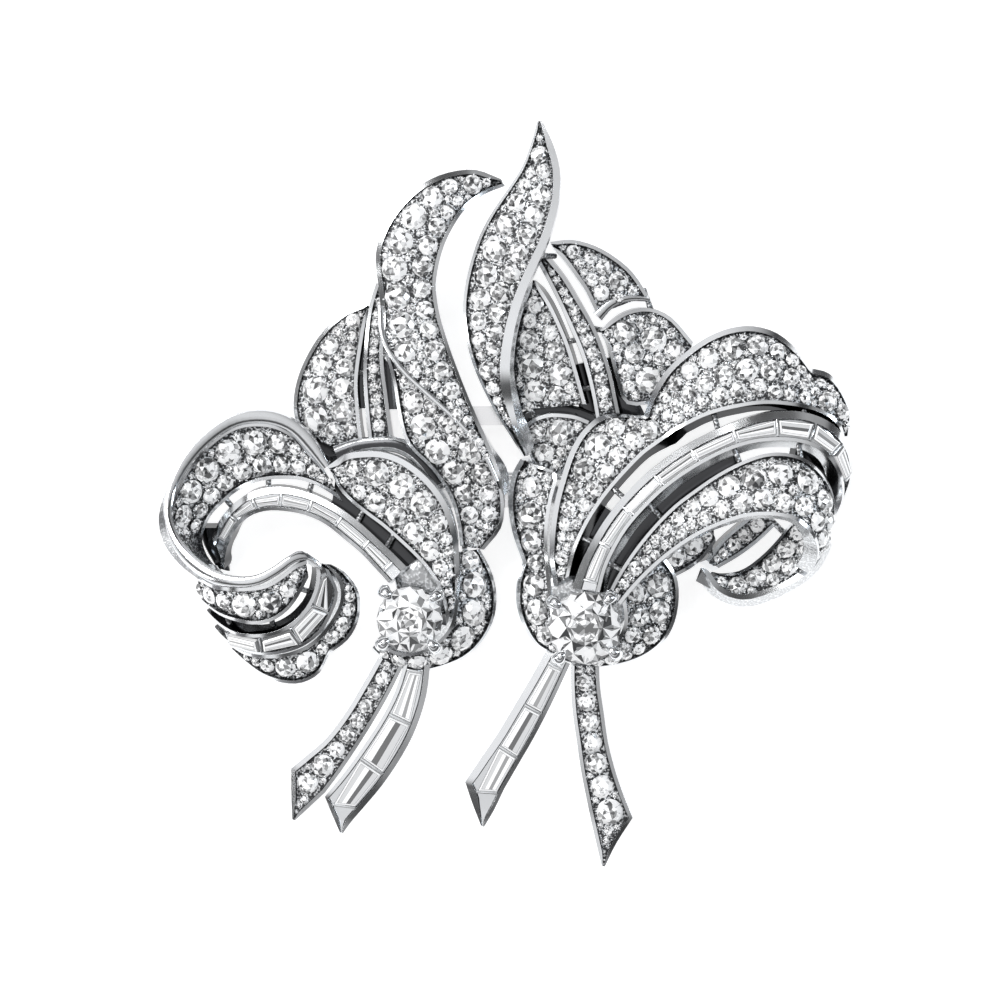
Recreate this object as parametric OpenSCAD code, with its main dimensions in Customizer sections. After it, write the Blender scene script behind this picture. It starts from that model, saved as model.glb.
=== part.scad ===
// Double clip brooch: two mirrored ribbon clips of polished white metal, set with round stones and
// step-cut bars, joined at the back by a plain brooch fitting. It lies on its back, front upwards.

/* [Clips] */
// Width of the left clip, from its far side to the line where the clips meet
left_clip_w = 32.6; // [28:0.1:38]
// Height of the left clip, from the plume's top to the lowest tail
left_clip_h = 62.7; // [55:0.1:72]
// Depth of the left clip, from the table up to the rim of its curl
left_clip_d = 12.1; // [10:0.1:15]
// Width of the right clip, from the line where the clips meet to its far side
right_clip_w = 32.5; // [28:0.1:38]
// Height of the right clip, from the leaf's tip to the lowest tail
right_clip_h = 70.1; // [62:0.1:80]
// Depth of the right clip, from the table up to the rim of its scroll
right_clip_d = 11.4; // [10:0.1:15]

/* [Ribbons] */
// Thickness of the ribbons
ribbon_t = 1.5; // [1.2:0.05:2]
// Width of a fine polished rim
fine_rim = 0.34; // [0.25:0.01:0.45]
// Width of the leaf's broad rim
leaf_rim = 0.95; // [0.7:0.01:1.1]
// Depth of the channel that the stones sit in
channel_d = 0.32; // [0.2:0.01:0.4]
// Drop of a plain band's rounded edges
band_round = 0.25; // [0.1:0.01:0.4]
// Radius of the bridges between neighbouring ribbons
bridge_r = 0.42; // [0.3:0.01:0.5]

/* [Stones] */
// Diameter of the left clip's main stone
left_stone_d = 6.2; // [5.6:0.1:6.6]
// Diameter of the right clip's main stone
right_stone_d = 6.8; // [6.2:0.1:7.2]
// Largest round stone in the channels
max_stone_d = 2.5; // [2:0.05:2.8]
// Smallest round stone in the channels
min_stone_d = 0.95; // [0.8:0.05:1.2]
// Clearance between neighbouring round stones
stone_gap = 0.15; // [0.12:0.01:0.2]
// Clearance between a round stone and the channel's walls
wall_gap = 0.1; // [0.05:0.01:0.15]
// Clearance between a stone and the channel's floor
seat_gap = 0.12; // [0.08:0.01:0.15]
// Clearance between a step-cut bar and the rims beside it
bar_gap = 0.13; // [0.1:0.01:0.2]
// Clearance at each end of a step-cut bar
bar_end_gap = 0.2; // [0.15:0.01:0.3]
// Height of a step-cut bar above the channel's floor
bar_h = 0.75; // [0.5:0.05:1]
// Radius of the claws on the main stones
claw_r = 0.42; // [0.3:0.01:0.5]

/* [Brooch fitting] */
// Length of the fitting's frame
fitting_l = 19; // [18.5:0.5:26]
// Width of the fitting's frame
fitting_w = 9.6; // [9.4:0.2:13]
// Width of the frame's bars
fitting_bar_w = 1.8; // [1.6:0.1:1.9]
// Height of the frame's bars
fitting_bar_h = 1.6; // [1.4:0.1:1.9]
// Height of the frame's middle above the brooch's middle
fitting_y = 3.6; // [2.4:0.2:4.4]
// Distance of the pin below the frame's middle
pin_drop = 1.8; // [1.6:0.1:1.9]
// Radius of the pin
pin_r = 0.45; // [0.35:0.01:0.5]
// Clearance of the clips' tongues in the fitting
tongue_gap = 0.1; // [0.05:0.01:0.2]

/* [Hidden] */
LEFT = 0;
RIGHT = 1;

// The clips are drawn on one sheet of squared paper, counted from its top left corner. The clips meet at
// meet_x, and each clip's size spans its own count of squares.
meet_x = 50.65;
mid_y = 49.5;
squares_w = [34.74, 34.55];
squares_h = [66.8, 74.6];
squares_d = [12.9, 12.1];
clip_w = [left_clip_w, right_clip_w];
clip_h = [left_clip_h, right_clip_h];
clip_d = [left_clip_d, right_clip_d];
square = [for (c = [LEFT, RIGHT])
    [clip_w[c] / squares_w[c], clip_h[c] / squares_h[c], clip_d[c] / squares_d[c]]];
meet_line = (left_clip_w - right_clip_w) / 2;

// Largest turn of a ribbon between two stations of its sweep, the small step that its direction is measured
// over, and how far from a row its turn is read, so that a corner is left out
station_turn = 26;
slope_step = 0.03;
row_end = 0.05;
max_rim_share = 0.3;
back_inset = 0.12;

// Most of a narrow ribbon's width that a channel's depth or a band's rounding takes, and that its crown or
// the inset of its back takes
deep_share = 0.25;
slight_share = 0.125;

// Least clearance left between two round stones
least_gap = 0.11;

// Cut of the round stones: the table's share of the girdle and the crown's height as a share of the radius
table_share = 0.6;
crown_share = 0.42;

// Cut of the bars: height of the upright walls and of the first step as shares, and the width of a step
bar_wall_share = 0.5;
bar_step_share = 0.8;
bar_step = 0.2;
bar_step_of_half = 0.3;

// Cut of the main stones: radii as shares of the girdle's, heights as shares of the diameter
main_table = 0.5;
main_waist = 0.78;
main_crown = 0.18;
main_waist_h = 0.12;
main_girdle = 0.02;
main_culet = 0.1;
pavilion_share = 0.43;

// Seat of a main stone, measured down from its girdle, and its claws
main_stone_gap = 0.14;
seat_top = 0.5;
seat_low = 2.1;
seat_wall = 0.4;
claw_foot = 1.1;
claw_bend = -0.1;
claw_top = 0.85;
claw_gap = 0.17;
claw_tip_share = 0.75;
claw_bar_share = 0.6;

// Feet and their tongues in the fitting
leg_w = 1.3;
foot_reach = 7.6;
tongue_l = 1.6;
tongue_w = 0.9;
slot_floor = 0.5;
tongue_low = slot_floor + tongue_gap;

// Ribbon tables, a row for each section from one end to the other: [x, y, z of one edge, x, y, z of the other
// edge], in squares, with a last 1 where the outline has a corner.
PLUME = [
    [50.1, 17.9, 7.0, 50.5, 18.6, 7.0],
    [47.6, 17.0, 7.6, 48.4, 19.5, 7.7],
    [44.8, 17.3, 8.1, 46.6, 20.9, 8.4],
    [42.3, 18.4, 8.4, 45.4, 22.6, 8.8],
    [40.2, 20.2, 8.6, 44.5, 24.4, 9.0],
    [38.5, 22.6, 8.6, 43.9, 26.4, 9.0],
    [37.6, 25.4, 8.6, 43.6, 28.6, 9.0],
    [37.8, 28.2, 8.6, 43.9, 31.2, 9.2],
    [38.1, 31.2, 8.8, 44.7, 34.0, 9.4],
    [38.2, 34.2, 9.2, 45.7, 36.8, 9.7],
    [40.0, 37.1, 9.6, 46.8, 39.6, 10.0],
    [42.8, 39.7, 9.9, 47.9, 42.2, 10.2],
    [45.8, 42.4, 10.0, 49.0, 44.8, 10.2],
    [48.1, 45.2, 9.8, 49.9, 47.4, 10.0],
    [49.7, 48.6, 9.4, 50.4, 49.6, 9.4]];
FEATHER = [
    [38.6, 35.6, 7.4, 40.6, 36.4, 8.4],
    [39.3, 38.3, 7.2, 43.6, 38.8, 8.6],
    [39.8, 41.4, 7.0, 46.4, 41.2, 8.7],
    [40.7, 44.4, 6.9, 48.6, 44.2, 8.5],
    [43.2, 47.0, 6.8, 49.8, 47.2, 8.0],
    [44.9, 49.6, 6.8, 50.4, 50.2, 7.4],
    [45.7, 52.2, 6.6, 50.1, 52.8, 6.8],
    [46.0, 54.6, 6.2, 48.4, 55.0, 6.2]];
FAN_OUTER = [
    [36.7, 30.3, 5.0, 37.0, 30.9, 5.0],
    [34.4, 31.2, 4.8, 36.5, 32.4, 5.1],
    [32.3, 33.0, 4.5, 36.2, 34.1, 5.1],
    [30.8, 35.2, 4.3, 35.9, 36.1, 5.1],
    [29.8, 37.4, 4.1, 35.7, 38.2, 5.1],
    [29.3, 39.6, 4.0, 35.8, 40.4, 5.1],
    [29.4, 41.8, 4.0, 36.0, 42.6, 5.1],
    [30.6, 44.2, 4.0, 36.3, 44.6, 5.0]];
FAN_STRIP = [
    [37.6, 28.3, 6.4, 38.6, 28.6, 6.6],
    [37.0, 30.2, 6.2, 38.9, 30.4, 6.6],
    [36.6, 32.4, 6.0, 38.6, 32.5, 6.4],
    [36.4, 34.8, 5.8, 38.3, 34.8, 6.0],
    [36.3, 37.2, 5.7, 38.4, 37.2, 5.8],
    [36.4, 39.4, 5.6, 38.7, 39.4, 5.6],
    [36.6, 41.8, 5.5, 39.0, 41.8, 5.5],
    [36.9, 44.6, 5.2, 39.4, 44.8, 5.2]];
SCROLL_RIM = [
    [33.0, 46.4, 7.0, 32.3, 47.0, 6.9],
    [31.6, 44.1, 7.4, 30.5, 44.9, 7.2],
    [29.9, 42.3, 7.7, 29.1, 43.4, 7.5],
    [28.0, 41.3, 7.9, 27.4, 42.6, 7.7],
    [25.8, 41.0, 8.0, 25.6, 42.4, 7.8],
    [23.5, 41.4, 8.1, 23.8, 42.7, 7.9],
    [21.3, 42.6, 8.3, 22.0, 43.7, 8.1],
    [19.3, 44.4, 8.5, 20.3, 45.2, 8.3],
    [17.8, 46.6, 8.8, 18.8, 47.2, 8.6],
    [16.8, 49.2, 9.2, 17.7, 49.5, 9.0],
    [16.6, 51.5, 9.7, 17.3, 51.5, 9.6],
    [17.0, 53.7, 10.2, 18.0, 53.4, 10.2],
    [18.0, 55.6, 10.8, 19.2, 55.0, 10.9],
    [19.6, 57.2, 11.5, 20.7, 56.3, 11.6],
    [21.5, 58.3, 12.1, 22.3, 57.2, 12.2],
    [24.0, 58.7, 12.6, 24.3, 57.6, 12.7],
    [26.2, 58.4, 12.8, 26.0, 57.4, 12.9],
    [28.2, 57.3, 12.8, 27.6, 56.6, 12.9],
    [29.7, 56.2, 12.7, 29.0, 55.6, 12.8],
    [31.2, 56.0, 12.4, 30.4, 55.0, 12.5],
    [32.4, 56.9, 12.0, 32.0, 56.0, 12.1]];
SCROLL_PAVE = [
    [32.2, 46.6, 6.8, 34.2, 50.1, 6.9],
    [30.6, 44.8, 7.0, 32.3, 48.9, 6.6],
    [29.1, 43.3, 7.2, 30.4, 48.1, 6.4],
    [27.4, 42.5, 7.4, 28.5, 47.9, 6.2],
    [25.5, 42.3, 7.5, 26.7, 48.0, 6.1],
    [23.7, 42.6, 7.6, 25.1, 48.4, 6.0],
    [21.9, 43.6, 7.8, 23.6, 49.2, 5.8],
    [20.2, 45.1, 8.0, 22.3, 50.3, 5.5],
    [18.7, 47.1, 8.3, 21.2, 51.4, 5.1],
    [17.6, 49.4, 8.6, 20.5, 52.7, 4.6],
    [17.2, 51.6, 8.8, 20.2, 54.0, 4.0],
    [17.8, 53.6, 9.2, 20.6, 55.4, 3.4],
    [19.2, 55.3, 9.8, 21.5, 56.7, 3.0],
    [20.8, 56.5, 10.6, 22.6, 57.6, 3.4]];
SCROLL_BARS = [
    [40.6, 56.6, 8.2, 38.9, 58.3, 8.2],
    [39.4, 55.4, 7.9, 37.7, 57.0, 7.9],
    [37.8, 53.9, 7.5, 36.2, 55.4, 7.5],
    [35.9, 52.2, 7.1, 34.3, 53.8, 7.1],
    [34.0, 50.8, 6.8, 32.5, 52.4, 6.7],
    [32.0, 49.7, 6.5, 30.5, 51.5, 6.4],
    [30.0, 49.0, 6.3, 28.4, 51.1, 6.1],
    [28.0, 48.7, 6.1, 26.5, 51.1, 5.8],
    [26.1, 48.9, 5.9, 24.8, 51.7, 5.5],
    [24.3, 49.6, 5.6, 23.5, 52.9, 5.1],
    [22.8, 50.8, 5.1, 22.7, 54.4, 4.4],
    [21.7, 52.2, 4.5, 22.3, 55.8, 3.7],
    [21.0, 53.8, 3.7, 22.2, 57.0, 3.0]];
SHELL = [
    [32.7, 46.7, 8.0, 33.2, 47.3, 7.8],
    [34.5, 45.5, 8.5, 33.9, 48.9, 7.6],
    [36.2, 45.2, 8.8, 35.2, 50.3, 7.6],
    [38.0, 45.2, 9.0, 36.7, 51.5, 7.7],
    [39.8, 45.7, 9.2, 38.2, 52.6, 7.8],
    [41.6, 46.8, 9.4, 39.8, 54.0, 8.0],
    [43.2, 48.3, 9.5, 41.3, 55.4, 8.2],
    [44.5, 50.1, 9.5, 42.6, 56.8, 8.5],
    [45.4, 52.3, 9.4, 43.6, 58.3, 8.7],
    [45.9, 55.0, 9.2, 44.2, 59.8, 8.7],
    [45.9, 58.0, 8.8, 44.6, 61.3, 8.4],
    [45.3, 60.8, 8.2, 44.7, 62.6, 8.0]];
CURL_TOP = [
    [19.7, 57.6, 6.4, 20.5, 60.2, 5.2],
    [19.6, 57.5, 8.4, 20.3, 60.3, 7.4],
    [21.2, 58.4, 10.4, 22.0, 61.5, 9.4],
    [23.0, 58.7, 11.5, 23.7, 62.1, 10.5],
    [25.0, 58.7, 11.9, 25.4, 62.4, 11.0],
    [26.8, 58.4, 12.1, 27.2, 62.1, 11.2],
    [28.3, 57.5, 12.1, 28.8, 61.1, 11.2],
    [29.6, 56.5, 12.1, 30.0, 59.6, 11.3],
    [30.8, 56.0, 11.9, 31.0, 57.7, 11.4]];
CURL_BARS = [
    [20.8, 61.0, 4.4, 21.9, 62.9, 3.6],
    [20.6, 61.1, 6.0, 21.6, 63.1, 5.2],
    [21.9, 62.3, 7.8, 23.1, 64.5, 6.8],
    [23.6, 63.2, 9.2, 24.6, 65.2, 8.3],
    [25.6, 63.4, 10.1, 26.4, 65.5, 9.0],
    [27.6, 63.1, 10.5, 28.4, 65.3, 9.3],
    [29.4, 62.1, 10.7, 30.4, 64.6, 9.5],
    [30.7, 60.7, 10.8, 32.1, 63.3, 9.7],
    [31.5, 59.1, 11.0, 33.3, 61.3, 10.0],
    [31.8, 57.5, 11.2, 33.9, 59.2, 10.3],
    [31.6, 56.2, 11.5, 33.0, 57.0, 11.0]];
CURL_EDGE = [
    [22.6, 64.3, 4.4, 23.3, 65.2, 3.9],
    [24.3, 65.2, 6.4, 24.6, 66.4, 5.2],
    [26.2, 65.5, 7.6, 26.2, 67.6, 6.2],
    [28.2, 65.4, 8.3, 28.2, 68.3, 6.8],
    [30.2, 64.8, 8.7, 30.2, 68.3, 7.0],
    [31.6, 63.9, 8.9, 32.0, 67.3, 7.2],
    [32.6, 62.9, 9.1, 33.0, 65.4, 7.6, 1],
    [33.4, 61.7, 9.2, 34.8, 64.0, 7.8],
    [34.0, 60.5, 9.4, 35.8, 62.3, 8.0],
    [34.2, 59.3, 9.6, 36.1, 60.5, 8.3],
    [34.0, 58.2, 10.0, 35.8, 58.8, 8.8],
    [33.4, 57.2, 10.4, 34.6, 57.2, 9.6],
    [32.6, 56.4, 10.8, 33.2, 56.4, 10.5]];
CURL_BACK = [
    [19.4, 56.2, 4.8, 21.8, 56.6, 3.2],
    [20.3, 58.4, 3.6, 23.0, 58.6, 2.6],
    [21.5, 60.7, 3.2, 24.2, 60.4, 2.6],
    [22.9, 62.9, 3.2, 25.6, 62.2, 2.9],
    [24.6, 64.6, 4.2, 27.0, 63.6, 4.2],
    [26.6, 65.6, 5.6, 28.4, 64.4, 6.2]];
SHELL_BACK = [
    [33.2, 44.6, 5.2, 33.9, 46.2, 5.4],
    [35.2, 43.9, 5.4, 35.7, 45.4, 5.6],
    [37.4, 43.6, 5.6, 37.6, 45.1, 5.8],
    [39.6, 43.6, 5.8, 39.4, 45.2, 6.0],
    [41.6, 44.5, 6.0, 41.0, 46.0, 6.2],
    [43.2, 46.2, 6.2, 42.3, 47.4, 6.4],
    [44.6, 48.2, 6.2, 43.6, 49.2, 6.4]];
LOBE = [
    [48.0, 54.9, 5.2, 45.7, 55.2, 6.4],
    [48.9, 56.5, 4.9, 45.7, 57.5, 6.8],
    [49.5, 58.2, 4.7, 45.6, 59.6, 7.0],
    [49.7, 60.2, 4.6, 45.4, 61.4, 7.0],
    [49.3, 62.3, 4.5, 44.9, 62.9, 7.0],
    [48.2, 64.3, 4.4, 44.0, 64.0, 6.9],
    [46.6, 65.8, 4.4, 42.9, 64.8, 6.8],
    [44.6, 66.7, 4.4, 41.6, 65.3, 6.7],
    [42.6, 67.2, 4.4, 40.4, 65.4, 6.6],
    [40.6, 67.2, 4.4, 39.2, 65.1, 6.5],
    [38.8, 66.5, 4.4, 38.2, 64.6, 6.4],
    [37.1, 65.0, 4.6, 37.7, 63.9, 6.0]];
TAIL_PAVE = [
    [37.8, 65.8, 4.8, 40.3, 66.6, 4.8],
    [36.2, 68.6, 4.6, 38.9, 69.4, 4.6],
    [34.5, 71.4, 4.4, 37.3, 72.2, 4.4],
    [32.6, 73.9, 4.1, 35.6, 74.9, 4.1],
    [30.8, 75.5, 3.8, 33.9, 77.4, 3.8],
    [29.0, 77.0, 3.5, 32.4, 79.4, 3.5, 1],
    [29.0, 79.6, 3.3, 30.8, 80.9, 3.3],
    [29.1, 82.1, 3.1, 29.4, 82.2, 3.1]];
TAIL_BARS = [
    [40.4, 66.4, 4.9, 43.0, 66.4, 4.9],
    [39.5, 69.2, 4.8, 42.6, 69.6, 4.8],
    [38.2, 71.8, 4.6, 41.6, 72.8, 4.6],
    [36.4, 74.6, 4.3, 40.2, 75.6, 4.3],
    [34.4, 77.4, 4.0, 38.2, 78.6, 4.0],
    [32.4, 79.8, 3.6, 36.2, 81.0, 3.6, 1],
    [33.2, 81.8, 3.4, 35.0, 82.4, 3.4],
    [33.9, 83.4, 3.2, 34.2, 83.5, 3.2]];

LEAF = [
    [53.7, 12.3, 8.6, 54.1, 12.2, 8.7],
    [53.1, 14.4, 8.8, 55.2, 14.4, 9.2],
    [52.2, 16.8, 9.0, 55.9, 17.0, 9.7],
    [50.8, 19.0, 9.1, 55.9, 19.8, 10.0],
    [49.3, 21.2, 9.1, 55.4, 22.2, 10.2],
    [48.0, 23.6, 9.1, 54.6, 24.6, 10.3],
    [47.1, 26.2, 9.1, 53.5, 27.0, 10.4],
    [46.5, 28.8, 9.1, 52.4, 29.6, 10.5],
    [46.3, 31.4, 9.1, 51.6, 32.2, 10.5],
    [46.6, 34.0, 9.0, 51.1, 34.8, 10.4],
    [47.3, 36.6, 8.8, 50.9, 37.2, 10.2],
    [48.4, 39.2, 8.5, 51.1, 39.8, 9.8],
    [49.8, 41.8, 8.1, 51.6, 42.2, 9.2],
    [51.2, 44.0, 7.6, 52.3, 44.2, 8.4],
    [52.3, 45.7, 7.0, 52.8, 45.6, 7.4]];
FAN_TOP = [
    [55.0, 24.2, 6.4, 55.4, 24.9, 6.4],
    [57.2, 24.0, 6.2, 56.6, 26.3, 6.4],
    [59.5, 24.6, 6.0, 57.6, 27.7, 6.4],
    [61.6, 25.8, 5.8, 58.5, 29.0, 6.3],
    [63.3, 27.3, 5.6, 59.1, 30.2, 6.2],
    [64.8, 29.5, 5.4, 59.7, 31.5, 6.0]];
FAN_LIP = [
    [59.2, 31.0, 6.2, 60.2, 32.2, 6.0],
    [60.9, 29.7, 6.1, 61.4, 30.9, 5.9],
    [62.9, 29.1, 5.9, 63.1, 30.3, 5.7],
    [65.2, 29.2, 5.5, 65.0, 30.5, 5.3]];
FAN_SIDE = [
    [60.0, 33.0, 6.2, 60.2, 33.4, 6.2],
    [61.2, 32.0, 6.1, 60.9, 35.2, 6.2],
    [62.8, 31.1, 5.9, 61.6, 37.8, 6.0],
    [65.0, 30.8, 5.6, 62.7, 40.4, 5.5],
    [67.2, 31.8, 5.4, 65.9, 40.0, 5.2],
    [69.3, 34.2, 5.2, 68.4, 37.4, 5.1]];
FAN_RIB = [
    [53.6, 26.0, 6.2, 54.8, 25.6, 6.3],
    [54.8, 28.2, 6.2, 56.5, 27.7, 6.3],
    [56.0, 30.6, 6.2, 57.9, 30.0, 6.3],
    [57.1, 33.0, 6.2, 59.3, 32.4, 6.2],
    [58.1, 35.4, 6.1, 60.3, 34.8, 6.1],
    [58.8, 37.8, 5.9, 61.1, 37.3, 5.9],
    [59.3, 40.0, 5.7, 61.6, 39.6, 5.7],
    [59.7, 42.3, 5.4, 62.1, 42.0, 5.4]];
FAN_INNER = [
    [53.2, 28.0, 5.4, 53.5, 28.0, 5.4],
    [52.2, 30.3, 5.0, 54.9, 30.2, 5.8],
    [51.5, 32.8, 4.9, 55.9, 32.2, 6.0],
    [51.1, 35.4, 4.9, 56.9, 34.6, 6.1],
    [51.1, 38.0, 4.9, 57.7, 37.2, 6.1],
    [51.8, 41.0, 4.9, 58.6, 40.4, 6.0]];
FAN_FOOT = [
    [52.1, 42.9, 5.4, 52.5, 44.5, 5.0],
    [53.3, 41.9, 5.9, 53.4, 46.5, 4.8],
    [54.8, 41.4, 6.2, 54.7, 47.5, 4.8],
    [56.3, 41.4, 6.3, 56.1, 47.4, 5.0],
    [57.6, 41.6, 6.3, 57.4, 45.8, 5.6],
    [58.9, 42.1, 6.2, 58.2, 43.9, 6.0]];
FOOT_BACK = [
    [51.7, 41.5, 4.6, 52.0, 42.7, 4.6],
    [53.3, 40.7, 4.6, 53.4, 41.9, 4.6],
    [55.2, 40.3, 4.6, 55.2, 41.5, 4.6],
    [57.3, 40.5, 4.6, 57.1, 41.7, 4.6],
    [59.6, 41.3, 4.8, 59.2, 42.6, 4.8]];
SCROLL_CREST = [
    [55.3, 58.6, 7.0, 56.8, 57.6, 8.2],
    [54.9, 55.9, 7.0, 57.4, 55.2, 8.2],
    [55.0, 53.1, 7.0, 58.4, 52.9, 8.2],
    [55.4, 50.3, 7.0, 59.7, 50.7, 8.2],
    [56.1, 47.7, 6.9, 61.2, 48.7, 8.3],
    [56.9, 45.3, 6.8, 62.9, 46.8, 8.4],
    [58.1, 43.2, 6.7, 64.3, 45.4, 8.5],
    [59.9, 41.6, 6.6, 65.5, 44.5, 8.6],
    [62.0, 41.3, 6.6, 66.6, 43.7, 8.7],
    [64.3, 41.5, 6.8, 67.4, 43.1, 8.7, 1],
    [65.2, 39.2, 6.9, 68.6, 42.5, 8.8],
    [66.6, 37.0, 6.9, 70.0, 41.8, 8.9],
    [68.5, 35.2, 6.9, 71.7, 41.2, 9.0],
    [70.7, 33.7, 6.9, 73.5, 40.8, 9.1],
    [73.0, 32.8, 6.9, 75.2, 40.5, 9.1],
    [75.3, 32.6, 6.8, 76.8, 40.4, 9.0],
    [77.7, 33.3, 6.7, 78.4, 40.5, 8.9],
    [79.8, 35.0, 6.5, 79.9, 40.7, 8.7],
    [81.2, 36.8, 6.4, 81.2, 41.0, 8.4, 1],
    [82.9, 37.3, 6.2, 82.2, 41.4, 8.1],
    [84.3, 38.9, 5.9, 83.2, 42.0, 7.7],
    [85.2, 41.2, 5.5, 83.9, 42.8, 7.2],
    [84.9, 43.5, 5.0, 84.3, 43.9, 6.4]];
SCROLL_MID = [
    [57.2, 58.8, 8.6, 59.9, 59.2, 8.9],
    [57.9, 56.6, 8.7, 60.5, 56.9, 9.1],
    [59.0, 54.3, 8.8, 61.4, 54.9, 9.3],
    [60.3, 52.1, 8.9, 62.6, 52.9, 9.5],
    [61.9, 50.0, 9.1, 64.1, 51.1, 9.7],
    [63.8, 48.0, 9.2, 65.9, 49.3, 9.8],
    [65.8, 46.3, 9.4, 67.8, 47.8, 9.9],
    [68.1, 44.7, 9.5, 70.0, 46.4, 10.0],
    [70.5, 43.4, 9.6, 72.4, 45.2, 10.1],
    [73.1, 42.3, 9.7, 74.8, 44.4, 10.1],
    [75.8, 41.4, 9.7, 77.2, 44.1, 10.1],
    [78.4, 41.1, 9.6, 79.4, 44.2, 10.0],
    [80.6, 41.3, 9.4, 81.2, 44.7, 9.8],
    [82.7, 42.1, 9.0, 82.6, 45.7, 9.4],
    [84.2, 43.4, 8.3, 83.5, 46.9, 8.8],
    [85.1, 45.2, 7.2, 84.1, 48.3, 7.9],
    [85.2, 47.2, 5.9, 84.2, 50.0, 6.6],
    [84.6, 49.2, 4.4, 83.7, 51.5, 5.2]];
SCROLL_LOW = [
    [60.6, 59.6, 8.9, 62.0, 60.4, 9.2],
    [61.5, 57.8, 9.1, 63.2, 58.9, 9.5],
    [62.6, 56.0, 9.3, 64.8, 57.2, 9.9],
    [63.9, 54.2, 9.5, 66.6, 55.6, 10.3],
    [65.5, 52.3, 9.7, 68.5, 54.2, 10.7],
    [67.3, 50.5, 9.9, 70.4, 53.1, 11.1],
    [69.4, 48.9, 10.1, 72.3, 52.3, 11.5],
    [71.6, 47.4, 10.2, 74.2, 51.7, 11.8],
    [73.9, 46.2, 10.3, 76.1, 51.5, 12.0],
    [76.2, 45.4, 10.3, 77.8, 51.6, 12.1],
    [78.4, 45.3, 10.2, 79.3, 52.0, 12.0],
    [80.4, 45.9, 9.9, 80.4, 52.8, 11.7],
    [82.0, 47.2, 9.3, 81.2, 53.8, 11.2],
    [83.1, 48.9, 8.3, 81.6, 55.0, 10.4],
    [83.5, 51.0, 6.9, 81.5, 56.2, 9.2],
    [83.1, 53.4, 5.2, 80.9, 57.4, 7.4]];
CURL_INNER = [
    [70.6, 56.0, 5.6, 71.9, 56.8, 5.2],
    [72.4, 53.8, 4.4, 74.0, 55.6, 4.0],
    [74.3, 52.2, 3.6, 75.9, 54.2, 3.2],
    [76.0, 50.8, 3.2, 77.6, 52.6, 2.9]];
CURL_OUTER = [
    [71.6, 57.4, 5.6, 70.1, 56.6, 6.6],
    [74.0, 57.0, 4.4, 71.8, 59.0, 6.4],
    [76.0, 55.7, 3.6, 74.2, 59.9, 6.3],
    [77.8, 53.9, 3.2, 76.8, 59.3, 6.2],
    [79.2, 52.2, 3.2, 79.3, 58.2, 6.1],
    [80.6, 51.4, 3.6, 81.4, 56.6, 5.9],
    [81.8, 51.2, 4.2, 82.8, 54.2, 5.4]];
COLUMN = [
    [52.0, 45.9, 5.0, 53.2, 46.4, 5.6],
    [51.2, 47.4, 4.8, 55.6, 47.4, 6.2],
    [50.8, 49.5, 4.7, 55.2, 49.7, 6.4],
    [50.9, 51.8, 4.7, 54.8, 52.0, 6.4],
    [51.4, 54.0, 4.7, 54.7, 54.3, 6.4],
    [52.2, 56.2, 4.8, 54.8, 56.4, 6.4, 1],
    [51.6, 58.4, 4.6, 55.0, 58.6, 6.6],
    [51.6, 60.6, 4.5, 55.2, 60.6, 6.8],
    [52.3, 62.8, 4.4, 55.5, 62.4, 6.9],
    [53.5, 64.6, 4.4, 55.9, 63.8, 6.8],
    [55.0, 65.5, 4.5, 56.6, 65.0, 6.4]];
LOBE_RIGHT = [
    [66.4, 55.6, 6.6, 62.4, 58.8, 7.6],
    [67.6, 57.5, 6.2, 62.2, 60.1, 7.6],
    [67.9, 59.7, 5.8, 62.4, 61.2, 7.6],
    [67.5, 62.2, 5.5, 62.4, 62.4, 7.5],
    [66.5, 64.1, 5.2, 61.9, 63.6, 7.4],
    [65.0, 65.4, 5.0, 61.2, 64.7, 7.2],
    [63.2, 66.2, 4.8, 60.2, 65.4, 7.0],
    [61.0, 66.7, 4.7, 59.1, 65.8, 6.8],
    [58.6, 66.8, 4.6, 57.9, 65.9, 6.6],
    [56.2, 66.1, 4.6, 56.6, 65.4, 6.4]];
LOBE_BEHIND = [
    [65.6, 55.4, 6.6, 67.5, 57.7, 5.8],
    [67.6, 54.0, 6.6, 69.0, 56.9, 5.6],
    [69.6, 52.8, 6.6, 70.4, 55.8, 5.5],
    [71.2, 52.2, 6.6, 71.6, 54.2, 5.6]];
TAIL_BARS_RIGHT = [
    [54.5, 65.3, 5.0, 57.0, 66.4, 5.0],
    [53.0, 68.0, 4.9, 55.9, 68.8, 4.9],
    [51.4, 70.7, 4.7, 54.7, 71.3, 4.7],
    [49.8, 73.4, 4.4, 53.4, 73.8, 4.4],
    [48.1, 75.9, 4.1, 51.9, 76.4, 4.1],
    [46.5, 78.3, 3.8, 50.4, 79.0, 3.8, 1],
    [47.2, 80.4, 3.5, 49.4, 81.1, 3.5],
    [48.1, 82.7, 3.2, 48.4, 82.8, 3.2]];
TAIL_PAVE_RIGHT = [
    [57.1, 65.8, 4.9, 59.9, 65.8, 4.9],
    [57.1, 68.6, 4.8, 60.0, 68.6, 4.8],
    [57.3, 71.4, 4.6, 60.4, 71.4, 4.6],
    [57.7, 74.2, 4.4, 60.8, 74.2, 4.4],
    [58.1, 77.0, 4.1, 61.5, 77.0, 4.1],
    [58.6, 79.6, 3.8, 62.3, 79.4, 3.8],
    [59.1, 82.0, 3.5, 63.3, 81.9, 3.5, 1],
    [59.7, 84.6, 3.3, 61.7, 84.4, 3.3],
    [60.2, 86.7, 3.1, 60.5, 86.8, 3.1]];

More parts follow.
